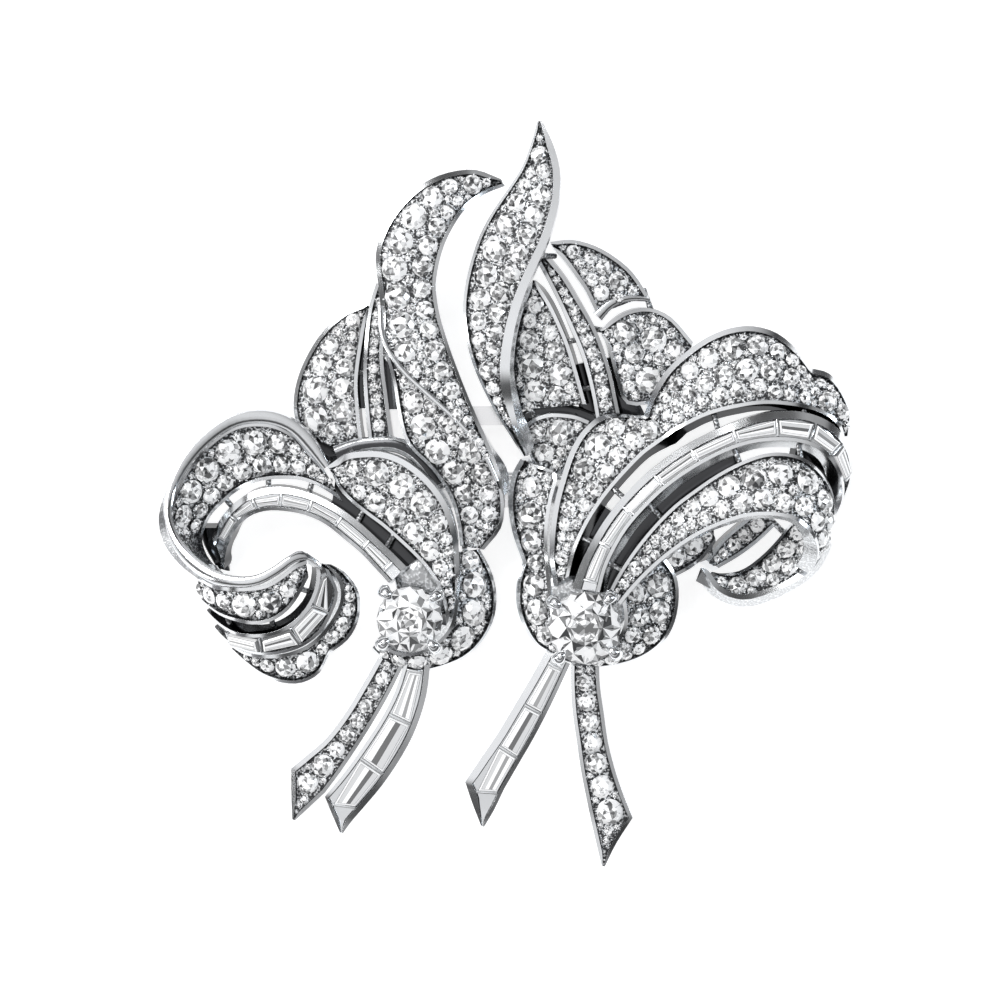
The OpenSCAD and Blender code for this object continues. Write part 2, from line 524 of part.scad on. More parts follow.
// Every ribbon of a clip: [table, rim on the first edge, rim on the other edge, rise of its crowned floor], or
// the table alone for a plain polished band
LEFT_RIBBONS = [
    [PLUME, fine_rim, fine_rim, 0.45],
    [FEATHER, fine_rim, fine_rim, 0.3],
    [FAN_OUTER, fine_rim, fine_rim, 0.3],
    [FAN_STRIP, fine_rim, fine_rim, 0.1],
    [SCROLL_RIM],
    [SCROLL_PAVE, fine_rim, fine_rim, 0.1],
    [SCROLL_BARS, 1.8 * fine_rim, fine_rim, 0],
    [SHELL_BACK],
    [SHELL, 1.6 * fine_rim, fine_rim, 0.35],
    [CURL_TOP, fine_rim, fine_rim, 0.1],
    [CURL_BARS, fine_rim, fine_rim, 0],
    [CURL_EDGE, fine_rim, fine_rim, 0.15],
    [CURL_BACK],
    [LOBE, fine_rim, fine_rim, 0.2],
    [TAIL_PAVE, 1.3 * fine_rim, fine_rim, 0],
    [TAIL_BARS, fine_rim, 1.5 * fine_rim, 0]];
RIGHT_RIBBONS = [
    [LEAF, fine_rim, leaf_rim, 0.35],
    [FAN_TOP, fine_rim, fine_rim, 0.3],
    [FAN_LIP],
    [FAN_SIDE, fine_rim, fine_rim, 0.3],
    [FAN_RIB, fine_rim, fine_rim, 0.1],
    [FAN_INNER, fine_rim, fine_rim, 0.3],
    [FAN_FOOT, fine_rim, fine_rim, 0.2],
    [FOOT_BACK],
    [SCROLL_CREST, 1.6 * fine_rim, fine_rim, 0.4],
    [SCROLL_MID, 2.2 * fine_rim, fine_rim, 0],
    [SCROLL_LOW, fine_rim, fine_rim, 0.35],
    [CURL_INNER, fine_rim, fine_rim, 0],
    [CURL_OUTER, fine_rim, 1.5 * fine_rim, 0],
    [COLUMN, 1.5 * fine_rim, fine_rim, 0.25],
    [LOBE_RIGHT, fine_rim, fine_rim, 0.2],
    [LOBE_BEHIND, fine_rim, fine_rim, 0.2],
    [TAIL_BARS_RIGHT, 2 * fine_rim, fine_rim, 0],
    [TAIL_PAVE_RIGHT, fine_rim, fine_rim, 0]];

// Bridges that tie neighbouring ribbons together: [x, y, z of one end, x, y, z of the other], in squares
LEFT_BRIDGES = [
    [26.8, 47.6, 5.4, 26.8, 49.6, 5.2],
    [31.2, 48.2, 5.8, 30.6, 50.2, 5.6],
    [22.4, 49.8, 5.0, 23.6, 51.2, 4.6],
    [36.4, 50.9, 7.0, 35.4, 52.8, 6.4],
    [39.4, 53.4, 7.4, 38.4, 55.2, 7.0],
    [27.2, 61.6, 9.8, 27.6, 63.8, 8.8],
    [30.0, 58.8, 9.9, 32.0, 59.4, 9.4],
    [22.6, 60.8, 8.6, 23.4, 63.8, 7.4],
    [35.4, 37.2, 4.1, 36.8, 37.2, 4.8],
    [35.0, 43.8, 3.9, 38.0, 44.4, 4.2],
    [38.2, 44.4, 4.2, 41.6, 44.6, 6.0],
    [37.8, 31.4, 5.6, 39.4, 31.6, 8.0],
    [37.8, 34.6, 5.2, 39.6, 37.0, 6.6],
    [45.2, 48.2, 5.1, 43.2, 49.0, 8.5],
    [34.6, 44.0, 3.6, 35.6, 46.4, 7.8],
    [46.4, 53.6, 5.4, 46.6, 57.4, 5.2],
    [43.5, 61.3, 8.4, 44.9, 61.0, 7.4],
    [42.4, 64.1, 8.2, 43.2, 65.2, 5.1],
    [40.5, 64.2, 8.2, 40.9, 65.8, 4.9],
    [40.1, 59.5, 8.4, 39.8, 58.0, 7.3]];
RIGHT_BRIDGES = [
    [61.0, 48.6, 7.6, 62.6, 50.0, 8.4],
    [71.2, 41.0, 8.2, 71.8, 43.4, 8.8],
    [80.2, 40.4, 7.8, 80.4, 42.4, 8.6],
    [57.8, 53.6, 7.4, 60.2, 54.6, 8.2],
    [64.6, 50.2, 9.0, 66.2, 52.0, 9.0],
    [73.2, 44.6, 9.4, 74.0, 46.8, 9.4],
    [79.6, 43.8, 9.2, 80.0, 46.4, 9.2],
    [61.0, 56.4, 8.4, 62.6, 57.2, 8.6],
    [56.4, 34.2, 5.2, 58.6, 33.8, 5.4],
    [59.2, 32.8, 5.4, 61.2, 33.2, 5.2],
    [64.4, 29.0, 4.6, 65.2, 31.2, 4.8],
    [57.9, 38.9, 5.2, 60.0, 38.7, 5.0],
    [55.4, 25.6, 5.6, 53.6, 25.6, 8.6],
    [53.0, 30.4, 4.4, 51.4, 30.6, 9.2],
    [53.0, 40.2, 4.2, 53.8, 43.0, 5.0],
    [57.4, 41.6, 5.2, 58.8, 43.4, 6.0],
    [61.6, 37.4, 5.0, 63.4, 38.0, 5.0],
    [52.2, 44.6, 7.0, 53.6, 45.2, 4.6],
    [66.0, 56.2, 5.9, 65.4, 55.2, 9.0],
    [70.2, 53.4, 6.0, 70.0, 52.2, 9.9],
    [77.0, 51.8, 2.4, 78.6, 53.4, 2.6],
    [80.9, 52.4, 3.0, 81.8, 54.8, 8.6],
    [71.2, 56.0, 4.8, 70.8, 53.6, 5.6],
    [58.3, 59.7, 8.8, 58.5, 59.0, 7.9],
    [60.6, 60.8, 8.8, 61.4, 60.0, 8.2],
    [55.9, 62.2, 8.6, 55.3, 61.9, 5.6],
    [60.4, 64.9, 8.8, 61.4, 65.4, 6.1],
    [57.6, 65.6, 8.8, 57.5, 66.3, 5.4]];

// Lanes of round stones side by side in a channel: [middle and width, as shares of the floor's width]
ONE_LANE = [[0.5, 1]];
BIG_LANE = [[0.28, 0.56]];
SMALL_LANE = [[0.78, 0.44]];
FEATHER_LANE = [[0.26, 0.5]];
SCROLL_LANES = [[0.31, 0.54], [0.79, 0.42]];
TWO_LANES = [BIG_LANE[0], SMALL_LANE[0]];
OUTER_LANES = [[0.19, 0.38], [0.55, 0.34]];

// Fields of round stones: [name, runs of stones as [ribbon, first row, last row, lanes]]
LEFT_FIELDS = [
    ["plume", [[0, 0.7, 1.9, ONE_LANE], [0, 2.2, 10.6, TWO_LANES], [0, 11.2, 13.2, ONE_LANE]]],
    ["feather", [[1, 1.6, 3.0, FEATHER_LANE], [1, 3.3, 6.4, TWO_LANES]]],
    ["fan", [[2, 0.9, 1.6, ONE_LANE], [2, 1.9, 6.2, TWO_LANES], [3, 1.6, 6.4, ONE_LANE]]],
    ["scroll", [[5, 0.9, 9.8, SCROLL_LANES]]],
    ["shell", [[8, 0.8, 9.4, TWO_LANES]]],
    ["curl", [[9, 1.6, 7.0, ONE_LANE], [11, 1.6, 11.2, ONE_LANE]]],
    ["lobe", [[13, 0.5, 10.4, ONE_LANE]]],
    ["tail", [[14, 0.6, 6.2, ONE_LANE]]]];
RIGHT_FIELDS = [
    ["leaf", [[0, 1.3, 12.6, BIG_LANE]]],
    ["fan", [[1, 0.9, 4.5, TWO_LANES], [3, 0.8, 4.3, TWO_LANES]]],
    ["inner", [[5, 1.2, 4.7, TWO_LANES], [6, 1.2, 4.4, BIG_LANE]]],
    ["scroll", [[8, 0.8, 9.0, BIG_LANE], [8, 9.6, 21.4, OUTER_LANES]]],
    ["low_scroll", [[10, 0.8, 14.0, BIG_LANE]]],
    ["column", [[13, 0.7, 9.4, ONE_LANE]]],
    ["lobe", [[14, 1.1, 8.6, BIG_LANE]]],
    ["tail", [[17, 0.9, 7.4, ONE_LANE]]]];

// Lanes of step-cut bars: [name, ribbon, first row, last row, count]
LEFT_BARS = [["scroll", 6, 0.7, 10.9, 7], ["curl", 10, 2.3, 9.4, 4], ["tail", 15, 0.7, 5.3, 3]];
RIGHT_BARS = [["scroll", 9, 0.4, 15.4, 9], ["tail", 16, 0.8, 5.6, 3]];

// Main stones: [x, y, z of the girdle in squares, diameter, turn of the claws]
MAIN_STONES = [[41.0, 61.9, 9.9, left_stone_d, 42], [58.4, 62.7, 10.2, right_stone_d, 50]];

// Feet: points of the ribbons that the feet carry, [x, y, z] in squares, in the order of the fitting's corners
LANDINGS = [
    [[42.0, 39.8, 6.7], [41.2, 51.0, 7.3]],
    [[60.4, 39.8, 4.4], [58.8, 50.6, 6.6]]];

function at(clip, x, y, z) =
    [meet_line + (x - meet_x) * square[clip][0], (mid_y - y) * square[clip][1], z * square[clip][2]];
function unit(v) = v / norm(v);

// A ribbon's table laid out in millimetres: [first edge and other edge as six numbers, corner mark]
function laid(clip, rows) =
    [for (r = rows) [concat(at(clip, r[0], r[1], r[2]), at(clip, r[3], r[4], r[5])), len(r) > 6]];

// Slopes into and out of a row, the same unless the outline has a corner there
function slope_out(rows, i) =
    i == 0 || rows[i][1] ? rows[i + 1][0] - rows[i][0] : (rows[i + 1][0] - rows[i - 1][0]) / 2;
function slope_in(rows, i) =
    i == len(rows) - 1 || rows[i][1] ? rows[i][0] - rows[i - 1][0] : (rows[i + 1][0] - rows[i - 1][0]) / 2;

// Both edges of a ribbon at u, counted in rows along it
function edges(rows, u) =
    let (i = max(0, min(floor(u), len(rows) - 2)), f = u - i, g = 1 - f)
    rows[i][0] * (1 + 2 * f) * g * g + slope_out(rows, i) * f * g * g
    + rows[i + 1][0] * f * f * (3 - 2 * f) - slope_in(rows, i + 1) * f * f * g;
function first(e) = [e[0], e[1], e[2]];
function other(e) = [e[3], e[4], e[5]];
function middle(e) = (first(e) + other(e)) / 2;

// A section of a ribbon: [first edge, direction across, direction up, width, direction along]
function section_at(rows, u) =
    let (
        e = edges(rows, u),
        last = len(rows) - 1,
        ahead = middle(edges(rows, min(last, u + slope_step))),
        behind = middle(edges(rows, max(0, u - slope_step))),
        along = unit(ahead - behind),
        wide = other(e) - first(e),
        up = unit(cross(along, -wide)))
    [first(e), unit(wide), up, norm(wide), along];

// 1 where the first edge lies to the left of the way along, seen from above, and else -1
function side(rows) =
    let (s = section_at(rows, (len(rows) - 1) / 2))
    s[2][2] > 0 ? 1 : -1;

// Angle that a ribbon turns through between two of its rows, along it or about its own line
function angle(p, q) = acos(min(1, p * q));
function turn_between(rows, i) =
    let (s = section_at(rows, i + row_end), t = section_at(rows, i + 1 - row_end))
    max(angle(s[2], t[2]), angle(s[4], t[4]));

// Where the stations of the sweep lie, counted in rows: close where the ribbon turns, and at every row
function stations(rows) =
    let (last = len(rows) - 1)
    concat(
        [for (i = [0:last - 1])
            let (n = max(1, ceil(turn_between(rows, i) / station_turn)))
            for (k = [0:n - 1]) i + k / n],
        [last]);

// Outline of a section, from the first edge across to the other edge and back underneath: [across, up].
// A channel has a recessed floor between its rims, raised to a soft ridge in the middle where it is crowned.
function rim_width(rim, w) = min(rim, max_rim_share * w);
function channel_depth(w) = min(channel_d, deep_share * w);
function floor_rise(crown, w) = min(crown, slight_share * w);
function floor_height(crown, w, f) = floor_rise(crown, w) * (1 - abs(1 - 2 * f)) - channel_depth(w);
function floor_start(rim, w) = rim_width(rim, w) + channel_depth(w) / 3;
function floor_width(rim_a, rim_b, w) = w - floor_start(rim_a, w) - floor_start(rim_b, w);
function underside(w) =
    let (inset = min(back_inset, slight_share * w))
    [[w - inset, -ribbon_t], [inset, -ribbon_t]];
function channel_profile(w, rim_a, rim_b, crown) =
    let (n = crown > 0 ? 2 : 1)
    concat(
        [[0, 0], [rim_width(rim_a, w), 0]],
        [for (k = [0:n])
            [floor_start(rim_a, w) + k / n * floor_width(rim_a, rim_b, w), floor_height(crown, w, k / n)]],
        [[w - rim_width(rim_b, w), 0], [w, 0]],
        underside(w));
// A plain band has no channel and a slightly rounded face
function band_profile(w) =
    let (side = deep_share * w, drop = min(band_round, side))
    concat([[0, -drop], [side, 0], [w - side, 0], [w, -drop]], underside(w));

// One ribbon as a closed sweep of its sections
module ribbon(clip, spec) {
    rows = laid(clip, spec[0]);
    turn = side(rows);
    sections = [for (u = stations(rows))
        let (
            s = section_at(rows, u),
            up = s[2] * turn,
            outline = len(spec) > 1 ? channel_profile(s[3], spec[1], spec[2], spec[3]) : band_profile(s[3]))
        [for (p = outline) s[0] + s[1] * p[0] + up * p[1]]];
    n = len(sections[0]);
    m = len(sections);
    points = [for (s = sections) for (p = s) p];
    start_cap = [for (j = [0:n - 1]) j];
    end_cap = [for (j = [n - 1:-1:0]) (m - 1) * n + j];
    sides = [for (i = [0:m - 2]) for (j = [0:n - 1])
        let (k = (j + 1) % n)
        [i * n + k, i * n + j, (i + 1) * n + j, (i + 1) * n + k]];
    faces = concat([start_cap, end_cap], sides);
    polyhedron(points, turn > 0 ? faces : [for (f = faces) [for (j = [len(f) - 1:-1:0]) f[j]]]);
}

// A bar between two points of the sheet, inside the metal at both ends
module bridge(clip, row) {
    hull() {
        for (k = [0, 3])
            translate(at(clip, row[k], row[k + 1], row[k + 2]))
                cylinder(h = bridge_r, r = bridge_r, center = true, $fn = 4);
    }
}

// Seat of a main stone: a cone that stands clear of the stone's pavilion, with four claws over its girdle
module stone_seat(clip) {
    spec = MAIN_STONES[clip];
    r = spec[3] / 2;
    pavilion = pavilion_share * spec[3];
    function wall_r(depth) = r * (1 - depth / pavilion) + main_stone_gap;
    translate(at(clip, spec[0], spec[1], spec[2])) {
        rotate_extrude($fn = 24)
            polygon([
                [wall_r(seat_top), -seat_top],
                [wall_r(seat_low), -seat_low],
                [wall_r(seat_low) + seat_wall, -seat_low],
                [wall_r(seat_top) + seat_wall, -seat_top]]);
        for (k = [0:3])
            rotate([0, 0, spec[4] + 90 * k]) {
                hull() {
                    translate([wall_r(claw_foot) + claw_r + claw_gap, 0, -claw_foot]) claw_section(1);
                    translate([r + claw_r + claw_gap, 0, claw_bend]) claw_section(1);
                }
                hull() {
                    translate([r + claw_r + claw_gap, 0, claw_bend]) claw_section(1);
                    translate([r + claw_gap, 0, claw_top]) claw_section(claw_tip_share);
                }
            }
    }
}
module claw_section(share) {
    cylinder(h = claw_bar_share * claw_r, r = share * claw_r, center = true, $fn = 8);
}

// A foot: a leg from the ribbon that it carries down to its tongue in the fitting
module foot(clip, k) {
    place = foot_place(clip, k);
    hull() {
        translate(at(clip, LANDINGS[clip][k][0], LANDINGS[clip][k][1], LANDINGS[clip][k][2]))
            cube([leg_w, leg_w, leg_w], center = true);
        translate([place[0], place[1], fitting_bar_h + tongue_gap + leg_w / 2])
            cube([leg_w, leg_w, leg_w], center = true);
    }
    translate([place[0] - tongue_l / 2, place[1] - tongue_w / 2, tongue_low])
        cube([tongue_l, tongue_w, fitting_bar_h]);
}
function foot_place(clip, k) = [
    meet_line + (clip == LEFT ? -1 : 1) * foot_reach,
    fitting_y + (k == 0 ? 1 : -1) * (fitting_w - fitting_bar_w) / 2];

module soldered(clip, ribbons, bridges) {
    for (spec = ribbons)
        ribbon(clip, spec);
    for (row = bridges)
        bridge(clip, row);
    stone_seat(clip);
    for (k = [0, 1])
        foot(clip, k);
}

module left_clip_frame() {
    color("silver") soldered(LEFT, LEFT_RIBBONS, LEFT_BRIDGES);
}

module right_clip_frame() {
    color("gainsboro") soldered(RIGHT, RIGHT_RIBBONS, RIGHT_BRIDGES);
}

// The fitting: a frame of four flat bars, slots for the clips' tongues, and the pin across its opening
module brooch_fitting() {
    slot_l = tongue_l + 2 * tongue_gap;
    slot_w = tongue_w + 2 * tongue_gap;
    color("darkgray") translate([meet_line, fitting_y, 0]) {
        difference() {
            translate([-fitting_l / 2, -fitting_w / 2, 0]) cube([fitting_l, fitting_w, fitting_bar_h]);
            translate([-fitting_l / 2 + fitting_bar_w, -fitting_w / 2 + fitting_bar_w, -1])
                cube([fitting_l - 2 * fitting_bar_w, fitting_w - 2 * fitting_bar_w, fitting_bar_h + 2]);
            for (x = [-foot_reach, foot_reach])
                for (y = [-1, 1])
                    translate([x, y * (fitting_w - fitting_bar_w) / 2, fitting_bar_h / 2 + slot_floor])
                        cube([slot_l, slot_w, fitting_bar_h], center = true);
        }
        translate([-fitting_l / 2 + fitting_bar_w / 2, -pin_drop, fitting_bar_h / 2])
            rotate([0, 90, 0])
                cylinder(h = fitting_l - fitting_bar_w, r = pin_r, $fn = 48);
    }
}

// A channel that stones sit in: [rows, rim on the first edge, rim on the other, crown, side, stations, and the
// two lines along the floor's edges]
function channel(clip, spec) =
    let (rows = laid(clip, spec[0]), ch = [rows, spec[1], spec[2], spec[3], side(rows), stations(rows)])
    concat(ch, [[for (share = [0, 1]) [for (u = ch[5]) first(floor_at_station(ch, u, share))]]]);

// Distance from a spot to the nearer edge of the floor
function segment_gap(a, b, p) =
    let (t = max(0, min(1, (p - a) * (b - a) / ((b - a) * (b - a)))))
    norm(p - a - (b - a) * t);
function edge_room(ch, p) =
    min([for (line = ch[6]) for (k = [0:len(line) - 2]) segment_gap(line[k], line[k + 1], p)]);

// A spot on a channel's floor at one station: place, up, along and width of the floor as ten numbers
function floor_at_station(ch, u, share) =
    let (
        s = section_at(ch[0], u),
        w = s[3],
        wide = floor_width(ch[1], ch[2], w),
        up = s[2] * ch[4],
        slope = share == 0.5 ? 0 : sign(0.5 - share) * 2 * floor_rise(ch[3], w) / wide,
        across = floor_start(ch[1], w) + share * wide)
    concat(s[0] + s[1] * across + up * floor_height(ch[3], w, share), up - s[1] * slope, s[4], wide);

// The same at any u: the floor is flat between two stations. [place, up, along, width of the floor]
function on_floor(ch, u, share) =
    let (
        k = max([for (i = [0:len(ch[5]) - 2]) u >= ch[5][i] || i == 0 ? i : 0]),
        t = (u - ch[5][k]) / (ch[5][k + 1] - ch[5][k]),
        a = floor_at_station(ch, ch[5][k], share),
        b = floor_at_station(ch, ch[5][k + 1], share),
        spot = a * (1 - t) + b * t,
        along = unit([b[0] - a[0], b[1] - a[1], b[2] - a[2]]),
        up = [spot[3], spot[4], spot[5]])
    [[spot[0], spot[1], spot[2]], unit(up - along * (up * along)), along, spot[9]];

// How far the floor at other spots rises above the plane through a spot
function rise_above(spot, others) = max([for (o = others) max(0, (o[0] - spot[0]) * spot[1])]);

// Diameter of the stone at a spot of a lane, and how fast the lane runs there, in millimetres a row
function stone_d(ch, u, lane) =
    let (spot = on_floor(ch, u, lane[0]))
    min(max_stone_d, lane[1] * spot[3] - stone_gap, 2 * (edge_room(ch, spot[0]) - wall_gap));
function lane_speed(ch, u, lane) =
    norm(on_floor(ch, u + slope_step, lane[0])[0] - on_floor(ch, u - slope_step, lane[0])[0]) / (2 * slope_step);

// Round stones marched along a lane, each one gap clear of the last: [place, up, along, radius]
function march(ch, lane, u, last) =
    u > last ? [] :
    let (
        spot = on_floor(ch, u, lane[0]),
        d = stone_d(ch, u, lane),
        r = max(d, min_stone_d) / 2,
        reach = r / lane_speed(ch, u, lane),
        e = max(stone_d(ch, u + 2 * reach, lane), min_stone_d) / 2,
        next = u + (r + e + stone_gap) / lane_speed(ch, u + reach, lane),
        share = r / spot[3],
        rim = concat(
            [for (a = [-reach, reach]) on_floor(ch, u + a, lane[0])],
            [for (b = [-share, share]) on_floor(ch, u, lane[0] + b)]),
        lift = seat_gap + rise_above(spot, rim))
    concat(
        d < min_stone_d ? [] : [[spot[0] + spot[1] * lift, spot[1], spot[2], r]],
        march(ch, lane, next, last));

// A stone that would crowd those already set gives way: it is made smaller, or left out where none fits
function spaced(stones, i = 0, kept = []) =
    i == len(stones) ? kept :
    let (
        s = stones[i],
        room = min([s[3], for (k = kept) norm(s[0] - k[0]) - k[3] - least_gap]))
    spaced(stones, i + 1, 2 * room < min_stone_d ? kept : concat(kept, [[s[0], s[1], s[2], room]]));
function field_stones(clip, ribbons, runs) =
    spaced([for (run = runs)
        let (ch = channel(clip, ribbons[run[0]]))
        for (lane = run[3])
            each march(ch, lane, run[1], run[2])]);

// Loose round stones, each a crown of twelve facets with a table
module round_stones(stones) {
    sides = 6;
    points = [for (s = stones)
        let (x = unit(cross(s[2], s[1])), y = cross(s[1], x))
        for (ring = [[1, 0, 0], [table_share, crown_share, 0.5]])
            for (k = [0:sides - 1])
                let (a = 360 * (k + ring[2]) / sides)
                s[0] + s[3] * (ring[0] * (x * cos(a) + y * sin(a)) + s[1] * ring[1])];
    faces = [for (i = [0:len(stones) - 1])
        let (b = 2 * sides * i)
        each concat(
            [[for (k = [0:sides - 1]) b + k]],
            [[for (k = [sides - 1:-1:0]) b + sides + k]],
            [for (k = [0:sides - 1])
                let (m = (k + 1) % sides)
                each [[b + m, b + k, b + sides + k], [b + m, b + sides + k, b + sides + m]]])];
    polyhedron(points, faces);
}

// A step-cut bar between two rows of a lane: a flat base, upright walls, two steps of facets and a table
module bar_stone(clip, ribbons, bars, i) {
    ch = channel(clip, ribbons[bars[1]]);
    pitch = (bars[3] - bars[2]) / bars[4];
    start = bars[2] + i * pitch;
    mid = on_floor(ch, start + pitch / 2, 0.5);
    up = mid[1];
    across = unit(cross(mid[2], up));
    spots = [for (c = [[0, 0], [0, 1], [1, 1], [1, 0]]) on_floor(ch, start + c[0] * pitch, c[1])];
    below = [for (a = [0:0.25:1]) for (share = [0, 0.5, 1]) on_floor(ch, start + a * pitch, share)];
    lift = seat_gap + rise_above(mid, below);
    // How far the floor's edges bulge in between the bar's corners
    bulge = [for (share = [0, 1])
        max([for (a = [0:0.25:1])
            let (
                chord = spots[share][0] * (1 - a) + spots[3 - share][0] * a,
                edge = on_floor(ch, start + a * pitch, share)[0],
                inward = unit(mid[0] - (spots[share][0] + spots[3 - share][0]) / 2))
            (edge - chord) * inward])];
    insets = [for (k = [0:3]) bar_gap + bulge[k == 0 || k == 3 ? 0 : 1]];
    // The steps of a narrow bar follow its half width, so that its table stays open
    half = min([for (k = [0:3]) abs((spots[k][0] - mid[0]) * across) - insets[k]]);
    step = min(bar_step, bar_step_of_half * half);
    // Each ring is drawn in from the bar's corners by its steps, at a height above the floor
    rings = [[0, 0], [0, bar_wall_share], [step, bar_step_share], [2 * step, 1]];
    points = [for (ring = rings) for (k = [0:3])
        let (
            v = spots[k][0] - mid[0],
            a = v * mid[2],
            b = v * across,
            end = bar_end_gap + ring[0],
            inset = insets[k] + ring[0])
        mid[0] + up * (lift + ring[1] * bar_h) + mid[2] * (a - sign(a) * end) + across * (b - sign(b) * inset)];
    faces = concat(
        [[for (k = [0:3]) k]],
        [[for (k = [3:-1:0]) 12 + k]],
        [for (r = [0:2]) for (k = [0:3])
            let (m = (k + 1) % 4)
            [4 * r + m, 4 * r + k, 4 * r + 4 + k, 4 * r + 4 + m]]);
    outwards = cross(points[1] - points[0], points[2] - points[1]) * up > 0;
    polyhedron(points, outwards ? faces : [for (f = faces) [for (j = [len(f) - 1:-1:0]) f[j]]]);
}

// A main stone: an old round cut with table, stars, kites, upper facets, girdle, pavilion and a small culet
module main_stone(clip) {
    spec = MAIN_STONES[clip];
    r = spec[3] / 2;
    d = spec[3];
    table = [for (k = [0:7]) polar(r * main_table, 45 * k, main_crown * d)];
    waist = [for (k = [0:7]) polar(r * main_waist, 45 * k + 22.5, main_waist_h * d)];
    girdle_top = [for (k = [0:15]) polar(r, 22.5 * k, main_girdle * d)];
    girdle_low = [for (k = [0:15]) polar(r, 22.5 * k, 0)];
    culet = [for (k = [0:7]) polar(r * main_culet, 45 * k, -pavilion_share * d * (1 - main_culet))];
    points = concat(table, waist, girdle_top, girdle_low, culet);
    faces = concat(
        [[for (k = [7:-1:0]) k]],
        [for (k = [0:7]) let (m = (k + 1) % 8) [m, 8 + k, k]],
        [for (k = [0:7]) let (m = (k + 7) % 8) each [[k, 16 + 2 * k, 8 + m], [k, 8 + k, 16 + 2 * k]]],
        [for (k = [0:7]) let (m = (2 * k + 2) % 16)
            each [[8 + k, 16 + 2 * k + 1, 16 + 2 * k], [8 + k, 16 + m, 16 + 2 * k + 1]]],
        [for (k = [0:15]) let (m = (k + 1) % 16) each [[16 + m, 32 + k, 16 + k], [16 + m, 32 + m, 32 + k]]],
        [for (k = [0:7]) let (m = (2 * k + 2) % 16, n = (k + 1) % 8)
            each [[32 + 2 * k + 1, 48 + k, 32 + 2 * k], [32 + m, 48 + n, 32 + 2 * k + 1],
                [32 + 2 * k + 1, 48 + n, 48 + k]]],
        [[for (k = [0:7]) 48 + k]]);
    color("azure") translate(at(clip, spec[0], spec[1], spec[2])) polyhedron(points, faces);
}
function polar(r, a, z) = [r * cos(a), r * sin(a), z];

module left_field(field) {
    color("lightcyan") round_stones(field_stones(LEFT, LEFT_RIBBONS, field[1]));
}

module right_field(field) {
    color("lightcyan") round_stones(field_stones(RIGHT, RIGHT_RIBBONS, field[1]));
}

function stone_node(clip) = str(clip == LEFT ? "left" : "right", "_main_stone");
function field_node(clip, field) = str(clip == LEFT ? "left_" : "right_", field[0], "_stones");
function bar_node(clip, bars, i) = str(clip == LEFT ? "left_" : "right_", bars[0], "_bar_", i + 1);

left_clip_frame();
right_clip_frame();
brooch_fitting();
for (clip = [LEFT, RIGHT])
    main_stone(clip);
for (field = LEFT_FIELDS)
    left_field(field);
for (field = RIGHT_FIELDS)
    right_field(field);
for (bars = LEFT_BARS)
    for (i = [0:bars[4] - 1])
        color("aliceblue") bar_stone(LEFT, LEFT_RIBBONS, bars, i);
for (bars = RIGHT_BARS)
    for (i = [0:bars[4] - 1])
        color("aliceblue") bar_stone(RIGHT, RIGHT_RIBBONS, bars, i);
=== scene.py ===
# %% [markdown]
# # A double clip brooch
#
# The brooch is two platinum clips, each a knot of ribbons paved with diamonds, that slide on to one hidden
# brooch fitting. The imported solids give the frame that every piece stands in. The script rebuilds each clip's
# metal with smooth ribbons along the same edge lines, cuts every stone in full, and adds what is too fine for
# the solids: small filling stones, the beads that hold them, and thin partitions between the baguettes.
#
# ## The frame
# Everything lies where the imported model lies: the fitting rests on the ground, and the stones face up. Ribbons
# and stones are drawn in millimetres and turned into metres when a piece is finished.

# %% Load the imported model
import math
import random

import bmesh
import bpy
from mathutils import Matrix, Vector
from mathutils.bvhtree import BVHTree
from mathutils.kdtree import KDTree


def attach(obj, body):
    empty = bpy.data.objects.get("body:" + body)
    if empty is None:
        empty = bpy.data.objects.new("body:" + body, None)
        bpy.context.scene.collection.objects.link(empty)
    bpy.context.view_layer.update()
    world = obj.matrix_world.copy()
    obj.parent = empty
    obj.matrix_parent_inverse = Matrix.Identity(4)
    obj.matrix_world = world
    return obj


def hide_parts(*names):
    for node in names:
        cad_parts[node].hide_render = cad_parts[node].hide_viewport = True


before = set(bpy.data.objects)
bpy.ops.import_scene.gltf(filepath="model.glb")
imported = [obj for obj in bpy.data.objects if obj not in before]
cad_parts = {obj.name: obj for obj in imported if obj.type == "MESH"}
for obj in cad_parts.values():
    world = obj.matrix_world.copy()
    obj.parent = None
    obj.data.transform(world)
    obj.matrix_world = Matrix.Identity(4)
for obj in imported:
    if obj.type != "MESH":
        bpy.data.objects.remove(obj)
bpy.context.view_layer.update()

MM = 0.001
random.seed(20)


# %% Helpers for objects, meshes and shader nodes
def put_in_scene(name, data):
    """A new object in the scene."""
    thing = bpy.data.objects.new(name, data)
    bpy.context.scene.collection.objects.link(thing)
    return thing


def as_mesh(bm, name):
    """The mesh that was drawn in bm, which is freed."""
    mesh = bpy.data.meshes.new(name)
    bm.to_mesh(mesh)
    bm.free()
    return mesh


def new_material(name, base, roughness, metallic=0.0, ior=1.5):
    """A material with its own Principled shader; returns the material, its nodes, its links and the shader."""
    material = bpy.data.materials.new(name)
    material.use_nodes = True
    nodes, links = material.node_tree.nodes, material.node_tree.links
    shader = nodes["Principled BSDF"]
    shader.inputs["Base Color"].default_value = (*base, 1)
    shader.inputs["Roughness"].default_value = roughness
    shader.inputs["Metallic"].default_value = metallic
    shader.inputs["IOR"].default_value = ior
    return material, nodes, links, shader


def add_node(nodes, kind, values=None, **settings):
    """A shader node with its settings and with values for some of its inputs."""
    node = nodes.new(f"ShaderNode{kind}")
    for key, value in settings.items():
        setattr(node, key, value)
    for key, value in (values or {}).items():
        node.inputs[key].default_value = value
    return node


